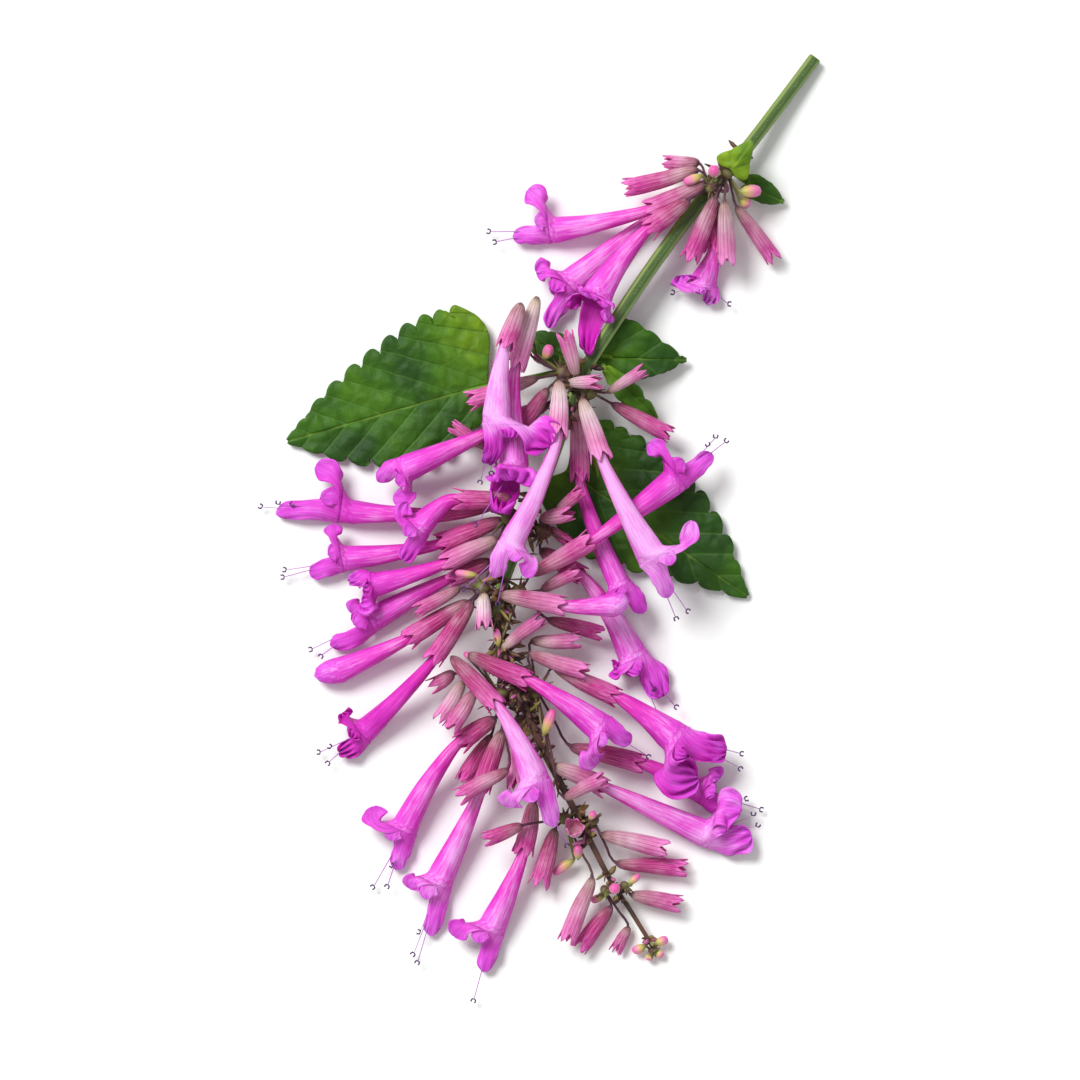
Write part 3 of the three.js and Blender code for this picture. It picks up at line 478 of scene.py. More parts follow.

# Blooms: corollas, thin soft tubes that widen to a mouth with four lobes. A straight strap, the
# tongue, goes on along the tube, a curved lower lip stands opposite, and a small rounded lobe
# stands forward on each side. Magenta, with a painted highlight along the top where the petal
# faces up, and painted shade on the petals' inner face.
BLOOMS = {
    # Places: foot and mouth of the calyx (via points its stalk passes), throat of the tube, ends
    # of tongue and lip or closed tip, and ends of the stamens. Half widths in millimetres: half
    # for the tube, wide for the lip, tongue_wide for the tongue's root and end. front: the lip
    # stands up out of the mouth. tint and lobe_tint: paler over 0, deeper under. pale: the calyx.
    "a1": dict(
        foot=(706, 185, 6.2), mouth=(645, 212, 5), throat=(558, 230, 1.6), half=1.6,
        tongue=(513, 238, 1.5), lip=(528, 190, 2.6), wide=1.6, stamens=[(490, 232), (496, 242)],
        pale=0.3),
    "a2": dict(
        foot=(692, 190, 2.6), mouth=(648, 221, 2), throat=(575, 279, 1.6), half=1.8,
        tongue=(548, 328, 1.2), lip=(536, 272, 2.4), wide=1.6, ruffle=1.6),
    "a3": dict(
        foot=(690, 200, 6.6), mouth=(645, 232, 5.8), throat=(600, 290, 5.9), half=1.9,
        tongue=(589, 356, 6.9), tongue_wide=(1.9, 0.9), lip=(594, 300, 8.6), wide=2.9, front=True,
        ruffle=2.2, tint=-0.2),
    "a6": dict(
        foot=(716, 200, 4), mouth=(713, 254, 3), throat=(704, 280, 1.6), half=1.6,
        tongue=(705, 302, 1.2), lip=(684, 276, 2.8), wide=1.8, stamens=[(674, 293), (728, 304)],
        ruffle=2.2),
    "b1": dict(
        foot=(522, 304, 10.4), via=[(532, 357, 6.6), (519, 326, 8)], mouth=(504, 352, 10.8),
        throat=(497, 415, 10.6), half=1.8, tongue=(488, 464, 9.6), lip=(550, 446, 11.8), wide=2.7,
        stamens=[(491, 472), (481, 481)], ruffle=2.6, tint=1.1, lobe_tint=-0.6, pale=0.45),
    "b2": dict(
        foot=(538, 297, 8.4), via=[(537, 357, 6), (534, 322, 7)], mouth=(515, 372, 8),
        throat=(514, 462, 8), half=1.8, tongue=(500, 512, 9.8), tongue_wide=(2.3, 1.5),
        lip=(514, 480, 9.8), wide=2.8, front=True, stamens=[(477, 524)], ruffle=2.6,
        lobe_tint=-0.4, pale=0.9),
    "b5": dict(
        foot=(561, 381, 10.4), mouth=(557, 440, 11.4), throat=(514, 538, 10), half=1.5,
        tongue=(494, 578, 9.2), lip=(524, 576, 10.6), wide=1.2,
        stamens=[(465, 588), (479, 590), (498, 602)], tint=0.9, pale=0.85),
    "b10": dict(
        foot=(582, 398, 9.2), mouth=(603, 463, 9.8), throat=(648, 550, 9), half=1.8,
        tongue=(666, 598, 8.4), lip=(692, 521, 10), wide=1.2,
        stamens=[(675, 617), (660, 590), (686, 610)], tint=1.1, pale=0.8),
    "b11": dict(
        foot=(578, 406, 6.2), mouth=(580, 483, 5), throat=(617, 580, 4.2), half=1.4,
        tongue=(645, 612, 4), lip=(606, 604, 4.4), wide=1.1, tint=-0.1, pale=0.3),
    "c1": dict(
        foot=(550, 402, 4.6), mouth=(487, 433, 5.2), throat=(408, 468, 4.6), half=1.7,
        tongue=(378, 482, 3.8), lip=(393, 497, 3.8), wide=1.4, tint=-0.1),
    "m1": dict(
        foot=(512, 500, 7.2), mouth=(452, 500, 6.8), throat=(424, 522, 6.2), half=1.5,
        tongue=(403, 560, 4.6), lip=(408, 503, 7.4), wide=1.3, ruffle=1.6, tint=-0.3),
    "m2": dict(
        foot=(500, 505, 3.9), mouth=(428, 514, 3.2), throat=(354, 512, 1.6), half=1.5,
        tongue=(276, 514, 1.2), lip=(316, 466, 2.6), wide=1.6,
        stamens=[(262, 507), (278, 504), (291, 505)], tint=-0.35),
    "m3": dict(
        foot=(504, 519, 4.9), mouth=(436, 545, 3.6), throat=(350, 558, 1.8), half=1.5,
        tongue=(310, 575, 1.3), lip=(334, 524, 2.8), wide=1.2, stamens=[(284, 577), (286, 570)],
        tint=-0.35),
    "m4": dict(
        foot=(499, 537, 5.6), mouth=(441, 565, 5), throat=(378, 584, 4), half=1.5,
        tongue=(350, 582, 3.4), lip=(362, 602, 4.6), wide=1.6, ruffle=2.2, tint=-0.5, pale=0.5),
    "c5": dict(
        foot=(492, 562, 3.6), mouth=(446, 580, 2.9), throat=(378, 616, 1.6), half=1.6,
        tongue=(330, 645, 1.3), lip=(352, 613, 2.6), wide=1.4, stamens=[(312, 649), (322, 655)],
        tint=-0.4),
    "c6": dict(
        foot=(470, 600, 4.6), mouth=(405, 640, 3.2), throat=(340, 670, 1.6), half=1.65,
        tip=(314, 676, 1.5), tint=-0.3),
    "c7": dict(
        foot=(474, 600, 7), mouth=(431, 663, 5.2), throat=(368, 728, 1.6), half=1.5,
        tongue=(339, 752, 1.3), lip=(343, 713, 2.8), wide=1.2,
        stamens=[(320, 752), (329, 762), (331, 747)], ruffle=2.4, tint=-1.3, lobe_tint=-1.2),
    "c8": dict(
        foot=(530, 576, 7.4), mouth=(594, 539, 7.5), throat=(670, 484, 5.2), half=1.7,
        tongue=(713, 455, 4.4), lip=(648, 444, 6.4), wide=1.3,
        stamens=[(725, 442), (715, 438), (708, 446)], tint=-0.3, pale=0.35),
    "c12": dict(
        foot=(500, 594, 8.8), mouth=(568, 606, 8.9), throat=(612, 605, 8.5), half=1.5,
        tip=(629, 600, 8.2), pale=0.45),
    "c14": dict(
        foot=(540, 548, 4), mouth=(584, 578, 3.6), throat=(630, 650, 1.6), half=1.8,
        tongue=(661, 697, 1.8), tongue_wide=(2, 1.6), lip=(614, 669, 2.6), wide=1.3,
        stamens=[(659, 717), (675, 706), (655, 690)], ruffle=2.2, tint=0.3, lobe_tint=-0.3),
    "d1": dict(
        foot=(452, 656, 9), mouth=(500, 708, 10.4), throat=(533, 772, 9.6), half=1.7,
        tongue=(555, 826, 8.4), lip=(508, 806, 9.6), wide=1.7, stamens=[(566, 843)], tint=0.6,
        pale=0.15),
    "d2": dict(
        foot=(468, 655, 7.2), mouth=(532, 681, 8.2), throat=(596, 724, 7.8), half=1.8,
        tongue=(631, 742, 7.2), lip=(597, 764, 7.2), wide=1.8, stamens=[(647, 755)], tint=-0.1),
    "d4": dict(
        foot=(552, 668, 5), mouth=(620, 698, 4.9), throat=(670, 734, 4.6), half=2,
        tongue=(726, 751, 4.4), tongue_wide=(1.9, 1.6), lip=(697, 777, 4.2), wide=2.7,
        stamens=[(740, 753), (739, 767)], ruffle=2.8, tint=-0.3, lobe_tint=-0.6, pale=0.3),
    "d5": dict(
        foot=(568, 744, 3.4), mouth=(645, 764, 2.6), throat=(695, 788, 1.6), half=1.5,
        tongue=(736, 802, 1.1), tongue_wide=(1.5, 1), lip=(718, 779, 2.6), wide=1.5,
        stamens=[(760, 809), (745, 799)], ruffle=1.8, tint=-0.5),
    "d6": dict(
        foot=(552, 762, 5.6), mouth=(608, 788, 4.6), throat=(702, 832, 1.7), half=1.8,
        tongue=(751, 836, 2.2), tongue_wide=(2.1, 1.7), lip=(740, 812, 3.6), wide=2.7,
        stamens=[(753, 815), (757, 826)], ruffle=1.8, tint=0.35, pale=0.45),
    "d7": dict(
        foot=(496, 716, 5.2), mouth=(457, 744, 4.4), throat=(407, 822, 1.6), half=1.7,
        tongue=(398, 870, 1.2), lip=(374, 806, 2.6), wide=1.7,
        stamens=[(374, 886), (393, 866), (388, 885)], tint=-0.3),
    "d8": dict(
        foot=(502, 728, 5), mouth=(480, 792, 4), throat=(442, 874, 1.6), half=1.7,
        tongue=(431, 936, 1.2), lip=(409, 888, 2.4), wide=1.4,
        stamens=[(414, 953), (418, 961), (420, 932)], tint=0.2),
    "d9": dict(
        foot=(536, 800, 4.8), mouth=(522, 856, 3.8), throat=(494, 922, 1.7), half=1.7,
        tongue=(485, 972, 1.3), lip=(454, 936, 2.6), wide=1.6, stamens=[(474, 999)], pale=0.2),
}
TUBE_ROWS, LIMB_ROWS, TUBE_SIDES = 22, 6, 40
ROOT_DEPTH = 1.5  # of the tube's root inside the calyx
TUBE_ROOT = 0.6 * MM  # radius
TUBE_FLARE = 1.1
CREASE = 0.035  # depth of the tube's four folds, as a share of its radius
PETAL_THICKNESS = 0.12 * MM
# The limb is the rim that goes on past the throat before it parts into lobes, as a share of
# the tongue's length forward and of the lip's length outward.
LIMB = dict(forward=0.2, outward=0.3)
LIP_RISE = 0.2  # of the lip's height that turns the mouth, unless the lip stands in front
LIFT = 1.3  # how far up the tube the lower lip's root lies, for one step towards the lip's end
TONGUE_LIFT = 0.6  # the same for the tongue's root, on the far side of the tube
# Each lobe: half its arc round the rim in degrees, the share of the length where it starts to
# round off, how much of the rim's curve it keeps and how far it turns level.
LOBES = {
    "lip": dict(arc=52, rows=24, columns=16, round=0.62, gutter=-0.25, level=1),
    "tongue": dict(arc=48, rows=18, columns=12, round=0.84, gutter=0.6, level=0.75),
    "near": dict(arc=36, rows=12, columns=12, round=0.35, gutter=0.5, level=0.5),
    "far": dict(arc=36, rows=12, columns=12, round=0.35, gutter=0.5, level=0.5),
}
SIDE_LOBE = dict(forward=0.24, sideways=0.04, outward=0.3, wide=1.3)
TONGUE_WIDE = (1.35, 0.95)
BROAD_LIP = 1.9  # from this half width on, a lip is broad and keeps the larger neck
NARROW_NECK, BROAD_NECK = 0.72, 0.9
BOW = 0.9  # how far a lobe keeps to the limb's direction before it turns to its end
OPEN = 0.45  # share of a lobe's length in which it opens out of the limb's curve
FRILL = 0.22 * MM
OVERLAP = 0.02 * MM  # of a lobe's root over the limb
BULB_ROWS = 6


def smooth(t):
    t = min(max(t, 0), 1)
    return t * t * (3 - 2 * t)


def petal_graph(name, inner_face_shade):
    """Petal skin: hot pink at the calyx to violet at the lobes, with fine streaks and wrinkles
    along the petal. Paler on top as a painted highlight where the petal faces up; the second
    argument deepens the colour as painted shade, for the petals' inner face."""
    graph = Graph(name, roughness=0.5, specular_ior_level=0.25, subsurface_weight=0.1,
                  subsurface_scale=0.3 * MM)
    along, tint, facing_up_highlight = graph.tone()
    uv = graph.node("TexCoord", "UV", {}, {})
    coords = graph.node("TexCoord", "Object", {}, {})
    streaks = graph.noise(graph.stretch(uv, (2, 16, 1)), 1, 4)
    fine = graph.noise(graph.stretch(uv, (5, 50, 1)), 1, 3)
    blotch = graph.noise(coords, 260, 4)
    hue = graph.ramp(along, [(0.0, 0xDA34A4), (0.25, 0xE03CBE), (0.6, 0xE048CE),
                             (1.0, 0xDA58E2)])
    lean = graph.math("ADD", graph.math("MULTIPLY_ADD", streaks, 1.4, -0.7),
                      graph.math("MULTIPLY_ADD", blotch, 1.2, -0.6))
    lean = graph.math("ADD", lean, graph.math("MULTIPLY_ADD", fine, 1.0, -0.5))
    # Painted highlight: where the surface faces up it turns paler, where it faces down deeper.
    lean = graph.math("ADD", lean, graph.math("MULTIPLY_ADD", facing_up_highlight, 1.0, -0.74))
    # Painted shade: the second argument makes the colour deeper, for the petals' inner face.
    lean = graph.math("ADD", lean, graph.math("MULTIPLY_ADD", tint, 0.45, -inner_face_shade))
    # The pale and deep masks carry the petal's own streaks and blotches together with the painted
    # highlight on top and the painted shade underneath and inside.
    pale = graph.mask(lean, 0.0, 0.7)
    deep = graph.mask(graph.math("MULTIPLY", lean, -1), 0.0, 0.6)
    colour = graph.cover(hue, pale, 0.8, 0xF6BCF6)
    colour = graph.cover(colour, deep, 0.85, 0xC20AA8)
    lines = graph.noise(graph.stretch(uv, (3, 60, 1)), 1, 2)
    line = graph.mask(lines, 0.56, 0.66)
    colour = graph.cover(colour, line, 0.42, 0xB01CA4)
    graph.paint(colour)
    graph.relief(lines, 0.06 * MM)
    return graph


petal = petal_graph("petal", 0)
# A copy of the petal with painted shade, for the inner face of each petal.
petal_inside_painted_shade = petal_graph("petal_inside_painted_shade", 0.6)

for name, bloom in BLOOMS.items():
    foot, mouth, throat = (at(*bloom[key]) for key in ("foot", "mouth", "throat"))
    tongue = at(*bloom.get("tongue", bloom.get("tip")))
    half = bloom["half"] * MM
    tint = bloom.get("tint", 0)
    calyx_way = (mouth - foot).normalized()
    root = mouth - calyx_way * ROOT_DEPTH * MM
    middle = mouth.lerp(throat, 0.5) + calyx_way * 0.08 * (throat - mouth).length
    tube_path = Path([root, mouth, middle, throat])
    axis = (tube_path.station(1, UP)[1] * 1.2 + (tongue - throat).normalized()).normalized()
    lip_way = (at(*bloom["lip"]) if "lip" in bloom else throat + UP) - throat
    if "lip" in bloom and not bloom.get("front"):
        lip_way.z *= LIP_RISE
    lipward = (lip_way - axis * lip_way.dot(axis)).normalized()
    side = (lipward + (UP - axis * axis.z) * LIFT).normalized()
    rim = (throat, axis, side, axis.cross(side))
    draw = random.Random(name)
    crease = draw.uniform(0, 6.28)

    tube_stations = [tube_path.station(row / TUBE_ROWS, side) for row in range(TUBE_ROWS + 1)]
    tube_stations[-1] = rim

    def radial(angle):
        return rim[2] * math.cos(angle) + rim[3] * math.sin(angle)

    def tube_place(row, w):
        share, angle = row / TUBE_ROWS, -2 * math.pi * w
        radius = TUBE_ROOT + (half - TUBE_ROOT) * share ** TUBE_FLARE
        fold = 1 + CREASE * math.sin(4 * angle + crease + 5 * share) * smooth(share * 3)
        return ring_point(tube_stations[row], radius * fold, angle)

    forward = LIMB["forward"] * (tongue - throat).length
    outward = LIMB["outward"] * lip_way.length

    def limb_place(row, w):
        angle, out = -2 * math.pi * w, row / LIMB_ROWS
        lean = math.cos(angle)
        return (tube_place(TUBE_ROWS, w) + axis * (forward * (1 - 0.3 * lean) * out)
                + lipward * (outward * (0.5 + 0.5 * lean) * out ** 1.7)
                + radial(angle) * (0.3 * MM * out ** 2))

    def tone_of(along, angle):
        # The third value is how far the tube's surface faces up, which the petal shader turns into
        # a painted highlight.
        return along, tint, 0.5 + 0.5 * radial(angle).z

    bm = new_skin_mesh()
    skin(bm, TUBE_ROWS, TUBE_SIDES, tube_place,
         lambda row, w: tone_of(0.6 * row / TUBE_ROWS, -2 * math.pi * w))

    if "tip" in bloom:
        def bulb_place(row, w):
            out = row / BULB_ROWS
            start = tube_place(TUBE_ROWS, w) - throat
            return throat.lerp(tongue, out) + start * math.sqrt(max(0, 1 - out * out))

        skin(bm, BULB_ROWS, TUBE_SIDES, bulb_place,
             lambda row, w: tone_of(0.6 + 0.4 * row / BULB_ROWS, -2 * math.pi * w))
        shown_lobes = {}
    else:
        skin(bm, LIMB_ROWS, TUBE_SIDES, limb_place, lambda row, w: tone_of(0.62, -2 * math.pi * w))
        shown_lobes = LOBES

    tongueward = -lipward + (UP - axis * axis.z) * TONGUE_LIFT
    tongue_angle = math.atan2(tongueward.dot(rim[3]), tongueward.dot(side))
    around_rim = 2 * math.pi if tongue_angle > 0 else -2 * math.pi
    centres = dict(lip=0, tongue=tongue_angle, near=tongue_angle / 2,
                   far=(tongue_angle - around_rim) / 2)

    for lobe_name, lobe in shown_lobes.items():
        centre, arc = centres[lobe_name], math.radians(lobe["arc"])
        if lobe_name == "near":
            arc = max(abs(tongue_angle) / 2 - math.radians(50), 0.2)
        rows, columns = lobe["rows"], lobe["columns"]
        tangent = radial(centre + math.pi / 2)

        def edge(v, row=LIMB_ROWS):
            angle = centre + v * arc
            return limb_place(row, -angle / (2 * math.pi)) + radial(angle) * OVERLAP

        heart = edge(0)
        start_way = (heart - edge(0, LIMB_ROWS - 1)).normalized()
        if lobe_name in ("lip", "tongue"):
            end = at(*bloom[lobe_name])
        else:
            long = (tongue - throat).length
            end = heart + (axis * SIDE_LOBE["forward"] + lipward * SIDE_LOBE["sideways"]) * long
            end += radial(centre) * SIDE_LOBE["outward"] * MM
        if lobe_name == "lip":
            wide = bloom["wide"]
            neck = wide * (NARROW_NECK if wide < BROAD_LIP else BROAD_NECK)
            widths = [(0, neck), (0.4, neck), (0.66, wide), (1, wide)]
        elif lobe_name == "tongue":
            widths = list(enumerate(bloom.get("tongue_wide", TONGUE_WIDE)))
        else:
            widths = [(0, SIDE_LOBE["wide"]), (1, SIDE_LOBE["wide"])]
        reach = end - heart
        bowed = start_way * reach.length * BOW
        level = UP.cross(start_way).normalized()
        hand = 1 if level.dot(tangent) > 0 else -1
        start_lean = math.atan2(tangent.dot(start_way.cross(level * hand)),
                                tangent.dot(level * hand))
        phase = draw.uniform(0, 6.28)
        ruffle = bloom.get("ruffle", 1)
        lobe_tint = bloom.get("lobe_tint", 0.5 * tint)

        def lobe_frame(t):
            spine = heart + bowed * (t * (1 - t)) + reach * (t * t)
            way = (bowed * (1 - 2 * t) + reach * (2 * t)).normalized()
            level = UP.cross(way).normalized() * hand
            lean = start_lean * (1 - lobe["level"] * smooth(t / 0.6))
            cross = level * math.cos(lean) + way.cross(level) * math.sin(lean)
            return spine, way, cross, cross.cross(way)

        _, way0, cross0, normal0 = lobe_frame(0)

        def lobe_place(row, w):
            v = 1 - 2 * w
            if row == 0:
                return edge(v, LIMB_ROWS - 1)
            t = math.sin(math.pi / 2 * (row - 1) / (rows - 1))
            spine, way, cross, normal = lobe_frame(t)
            start = edge(v) - heart
            opened = smooth(t / OPEN)
            taper = math.sqrt(max(0, 1 - (max(0, t - lobe["round"]) / (1 - lobe["round"])) ** 2))
            wave = 1 + 0.05 * math.sin(14 * t + phase + 2 * v) * opened
            sideways = start.dot(cross0) * (1 - opened)
            sideways += v * graded(widths, t) * MM * opened * wave
            outward_by = start.dot(normal0) * (1 - opened * (1 - lobe["gutter"]))
            frill = (FRILL * ruffle * math.sin((4 + 3 * ruffle) * v + 5 * t + phase)
                     * (abs(v) ** 1.3 + (ruffle - 1) * t * t) * smooth((t - 0.3) / 0.5))
            return (spine + cross * (sideways * taper) + normal * ((outward_by + frill) * taper)
                    + way * (start.dot(way0) * (1 - opened)))

        # The lobes count as facing up at 0.75 for the painted highlight.
        skin(bm, rows, columns, lobe_place,
             lambda row, w: (0.62 + 0.38 * row / rows,
                             tint + (lobe_tint - tint) * smooth(2 * row / rows), 0.75))

    corolla_object = finished(f"corolla_{name}_petals", bm, [petal, petal_inside_painted_shade])
    # The shell's second face takes the copy of the petal with painted shade.
    thick = corolla_object.modifiers.new("thickness", "SOLIDIFY")
    thick.thickness, thick.offset, thick.material_offset = PETAL_THICKNESS, -1, 1
    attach(corolla_object, "root")
    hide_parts(f"corolla_{name}")

# Stamens: threads that run out of the throat along the tongue and bend apart, each with a small
# dark anther whose two halves curl.
STAMEN_RADIUS = 0.085
# One half of an anther: forward and aside of the thread's end, and radii at shares of its length.
ANTHER_CURL = ((-0.05, 0), (0, 0.2), (0.22, 0.3), (0.42, 0.18))
ANTHER_RADII = [(0.02, 0.07), (0.35, 0.11), (0.75, 0.12), (0.98, 0.05)]

filament = Graph("filament", base_color=0xB060BA, roughness=0.45)
anther = Graph("anther", base_color=0x4A2A60, roughness=0.6)

for name, bloom in BLOOMS.items():
    if "stamens" not in bloom:
        continue
    throat, tongue = at(*bloom["throat"]), at(*bloom["tongue"])
    draw = random.Random(name)
    bm = new_skin_mesh()
    for number, (x, y) in enumerate(bloom["stamens"]):
        end = at(x, y, max(bloom["tongue"][2], 0.8) + 0.35 * number)
        way = (end - tongue).normalized()
        across = way.cross(UP).normalized()
        bow = across * draw.choice((-1, 1)) * 0.12 * (end - tongue).length
        points = [throat.lerp(tongue, 0.2), throat.lerp(tongue, 0.7) + UP * 0.4 * MM,
                  tongue.lerp(end, 0.15) + bow * 0.5 + UP * 0.2 * MM,
                  tongue.lerp(end, 0.6) + bow, end]
        rod(bm, points, [(0, STAMEN_RADIUS), (1, 0.7 * STAMEN_RADIUS)],
            lambda share: (share, 0, 0), 6)
        for hand in (-1, 1):
            curl = [end + (way * forward + across * hand * aside) * MM
                    for forward, aside in ANTHER_CURL]
            rod(bm, curl, ANTHER_RADII, lambda share: (share, 0, 0), 8, 1)
    stamen_object = finished(f"stamens_{name}", bm, [filament, anther])
    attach(stamen_object, "root")

# Cymes: on each side of a whorl, ribbed calyces and small buds on thread-like stalks that grow
# from one knob beside the stem, among small dark bracts.
CYMES = {
    # calyces: foot, mouth, radius and how pale. buds: foot, tip and radius. In millimetres.
    "cyme_a_left": dict(
        knob=(711, 188, 6.2), size=0.9, blooms=["a1", "a2", "a3"],
        calyces=[((700, 165, 4.4), (662, 164, 3.6), 1, 0.5),
            ((700, 172, 6), (623, 190, 4.4), 1.15, 0.3)],
        buds=[((702, 177, 7), (683, 184, 7.2), 0.6), ((714, 176, 6.4), (713, 170, 8.6), 0.75)]),
    "cyme_a_right": dict(
        knob=(727, 173, 6.2), size=0.9, blooms=["a6"],
        calyces=[((716, 196, 6.6), (689, 262, 4.2), 1.2, 0.25),
            ((724, 200, 6.8), (727, 266, 4.2), 1.15, 0.8),
            ((735, 205, 4.4), (775, 261, 1.6), 1, 0.3)],
        buds=[((738, 192, 5.4), (761, 192, 4.8), 0.8), ((739, 200, 4), (749, 206, 3.2), 0.7)]),
    "cyme_b_left": dict(
        knob=(563, 374, 6.2), size=1.1, blooms=["b1", "b2", "c1"],
        calyces=[((540, 378, 5.6), (466, 402, 4.6), 1.1, 0.45),
            ((549, 388, 6.2), (514, 438, 4.4), 1.15, 0.15)],
        buds=[((545, 360, 6), (550, 346, 7), 0.7), ((545, 364, 5.2), (533, 356, 5.2), 0.5)]),
    "cyme_b_right": dict(
        knob=(590, 392, 7.4), size=1.1, blooms=["b5", "b10", "b11"],
        calyces=[((577, 378, 8.4), (564, 331, 9.6), 1, 0.5),
            ((568, 384, 8.8), (602, 382, 10.4), 0.85, 0.75),
            ((606, 393, 6.8), (646, 369, 6), 0.75, 0.6),
            ((610, 403, 4.6), (672, 437, 4), 1.05, 0.1)],
        buds=[]),
    "cyme_m_left": dict(
        knob=(514, 518, 5.6), size=1.1, blooms=["m1", "m2", "m3", "m4"],
        calyces=[((492, 452, 3.6), (450, 424, 2.9), 0.85, 0.3)],
        buds=[]),
    "cyme_m_right": dict(
        knob=(541, 530, 5.6), size=1.1, blooms=["c14"],
        calyces=[((540, 520, 7), (574, 512, 7.8), 1.05, 0.4),
            ((549, 528, 5), (574, 546, 5), 0.7, 0.2),
            ((556, 512, 7.4), (584, 489, 8.2), 0.8, 0.4)],
        buds=[]),
    "cyme_c_left": dict(
        knob=(489, 590, 5.8), size=1.1, blooms=["c5", "c6", "c7"],
        calyces=[((462, 588, 5.6), (414, 612, 5), 0.9, 0.3),
            ((484, 592, 8.6), (484, 631, 8.8), 1, 0.95)],
        buds=[((478, 576, 6.6), (455, 572, 6.6), 0.5)]),
    "cyme_c_right": dict(
        knob=(516, 592, 6), size=1.1, blooms=["c8", "c12"],
        calyces=[((540, 590, 6.8), (580, 569, 6.2), 0.9, 0.35),
            ((500, 648, 6.9), (545, 616, 6.4), 0.9, 0.45),
            ((546, 618, 4.2), (604, 634, 2.8), 1, 0)],
        buds=[((499, 646, 7.2), (496, 628, 7.6), 0.5)]),
    "cyme_d_left": dict(
        knob=(506, 694, 5.4), size=1.2, blooms=["d1", "d2", "d7", "d8"],
        calyces=[((456, 673, 3.6), (429, 688, 3), 0.95, 0.2),
            ((466, 681, 4.8), (438, 722, 3.6), 1, 0.75),
            ((477, 690, 7), (448, 731, 7.2), 1.1, 0.35),
            ((492, 733, 2.6), (461, 782, 2), 1.05, 0),
            ((509, 766, 6.4), (456, 798, 6.4), 1.05, 0.25),
            ((518, 714, 3.6), (514, 790, 4.2), 1.05, 0.45)],
        buds=[((480, 664, 5.2), (464, 652, 4.8), 0.5)]),
    "cyme_d_right": dict(
        knob=(533, 690, 5.6), size=1.2, blooms=["d4", "d5", "d6"],
        calyces=[((528, 655, 5.6), (590, 672, 6.6), 1.1, 0.45),
            ((530, 643, 4.6), (582, 640, 4.2), 1, 0.5),
            ((562, 796, 7), (607, 776, 7.4), 0.9, 0.6)],
        buds=[((543, 735, 6.6), (554, 708, 7), 0.65), ((549, 700, 6.6), (549, 690, 6.8), 0.5)]),
    "cyme_e_left": dict(
        knob=(569, 816, 4), size=0.8, blooms=["d9"],
        calyces=[((524, 824, 6.6), (483, 840, 6.2), 0.95, 0.2),
            ((556, 827, 3.4), (538, 887, 2.2), 1.2, 0.2),
            ((592, 874, 3.6), (566, 943, 3), 1.15, 0.6),
            ((574, 831, 4.4), (574, 824, 7.4), 1.1, 1)],
        buds=[((578, 858, 3.2), (578, 845, 4.6), 0.6), ((574, 858, 2.2), (553, 874, 1.4), 0.6)]),
    "cyme_e_right": dict(
        knob=(596, 818, 4.4), size=0.8, blooms=[],
        calyces=[((600, 832, 4.2), (669, 850, 3.4), 1.2, 0.5),
            ((614, 861, 2.4), (688, 869, 1.6), 1.1, 0.1)],
        buds=[((590, 818, 6), (594, 811, 6.8), 0.5)]),
    "cyme_f_left": dict(
        knob=(606, 889, 2.4), size=0.6, blooms=[],
        calyces=[((611, 904, 1.9), (578, 951, 1.2), 1.1, 0),
            ((628, 925, 1.3), (615, 953, 0.95), 0.75, 0.3)],
        buds=[((604, 895, 1.8), (591, 901, 1.2), 0.5), ((614, 890, 3.8), (615, 886, 5.2), 0.7)]),
    "cyme_f_right": dict(
        knob=(624, 885, 3), size=0.6, blooms=[],
        calyces=[((630, 893, 2.6), (682, 905, 1.7), 1.1, 0.35)],
        buds=[((628, 884, 3), (640, 874, 2.8), 0.45)]),
    "cyme_tip": dict(
        knob=(652, 951, 1.2), size=0.5, blooms=[], calyces=[],
        buds=[((646, 946, 1.4), (632, 951, 1.1), 0.6), ((655, 944, 1.6), (668, 938, 1.4), 0.6),
            ((650, 954, 1.2), (648, 960, 1), 0.5), ((656, 951, 1.1), (663, 956, 0.9), 0.55)]),
}
# Of a calyx, in millimetres: radius where it holds a bloom, length of a tooth, depth of the
# hollow, wall, and radius of its stalk.
BLOOM_CALYX, TOOTH, HOLLOW, CALYX_WALL, STALK = 1.25, 1.7, 3.2, 0.14, 0.16
CALYX_SIDES = 30
TOOTH_LEAN = (-0.15, 0.35)  # outward at its point, as a share of the radius
# Rows of a calyx's outer side: share of the way from foot to notches, and share of the radius.
CALYX_BODY = [(0.0, 0.22), (0.03, 0.38), (0.08, 0.52), (0.16, 0.64), (0.28, 0.76), (0.45, 0.86),
              (0.62, 0.93), (0.8, 0.98), (0.92, 1.0)]
TOOTH_ROWS = [0, 0.35, 0.7, 1]

calyx_graph = Graph("calyx", roughness=0.65, specular_ior_level=0.2)
along, pale, inside = calyx_graph.tone()
uv = calyx_graph.node("TexCoord", "UV", {}, {})
around = calyx_graph.parts(uv)[1]
coords = calyx_graph.node("TexCoord", "Object", {}, {})
ribs = calyx_graph.math("PINGPONG", calyx_graph.math("MULTIPLY", around, 15), 0.5)
rib = calyx_graph.mask(ribs, 0.2, 0.0, smooth=True)
rib = calyx_graph.math("MULTIPLY", rib,
                       calyx_graph.noise(calyx_graph.stretch(uv, (5, 8, 1)), 1, 3))
dark = calyx_graph.ramp(along, [
    (0.0, 0x42262C), (0.05, 0x7E4050), (0.2, 0xA03A64), (0.5, 0xB62A7A),
    (0.8, 0xC63492), (1.0, 0xF45CC8)])
light = calyx_graph.ramp(along, [
    (0.0, 0x6A5A38), (0.06, 0xD0C2A4), (0.22, 0xECDEDA), (0.45, 0xF0CEDE),
    (0.7, 0xEE98CA), (1.0, 0xFFA0E4)])
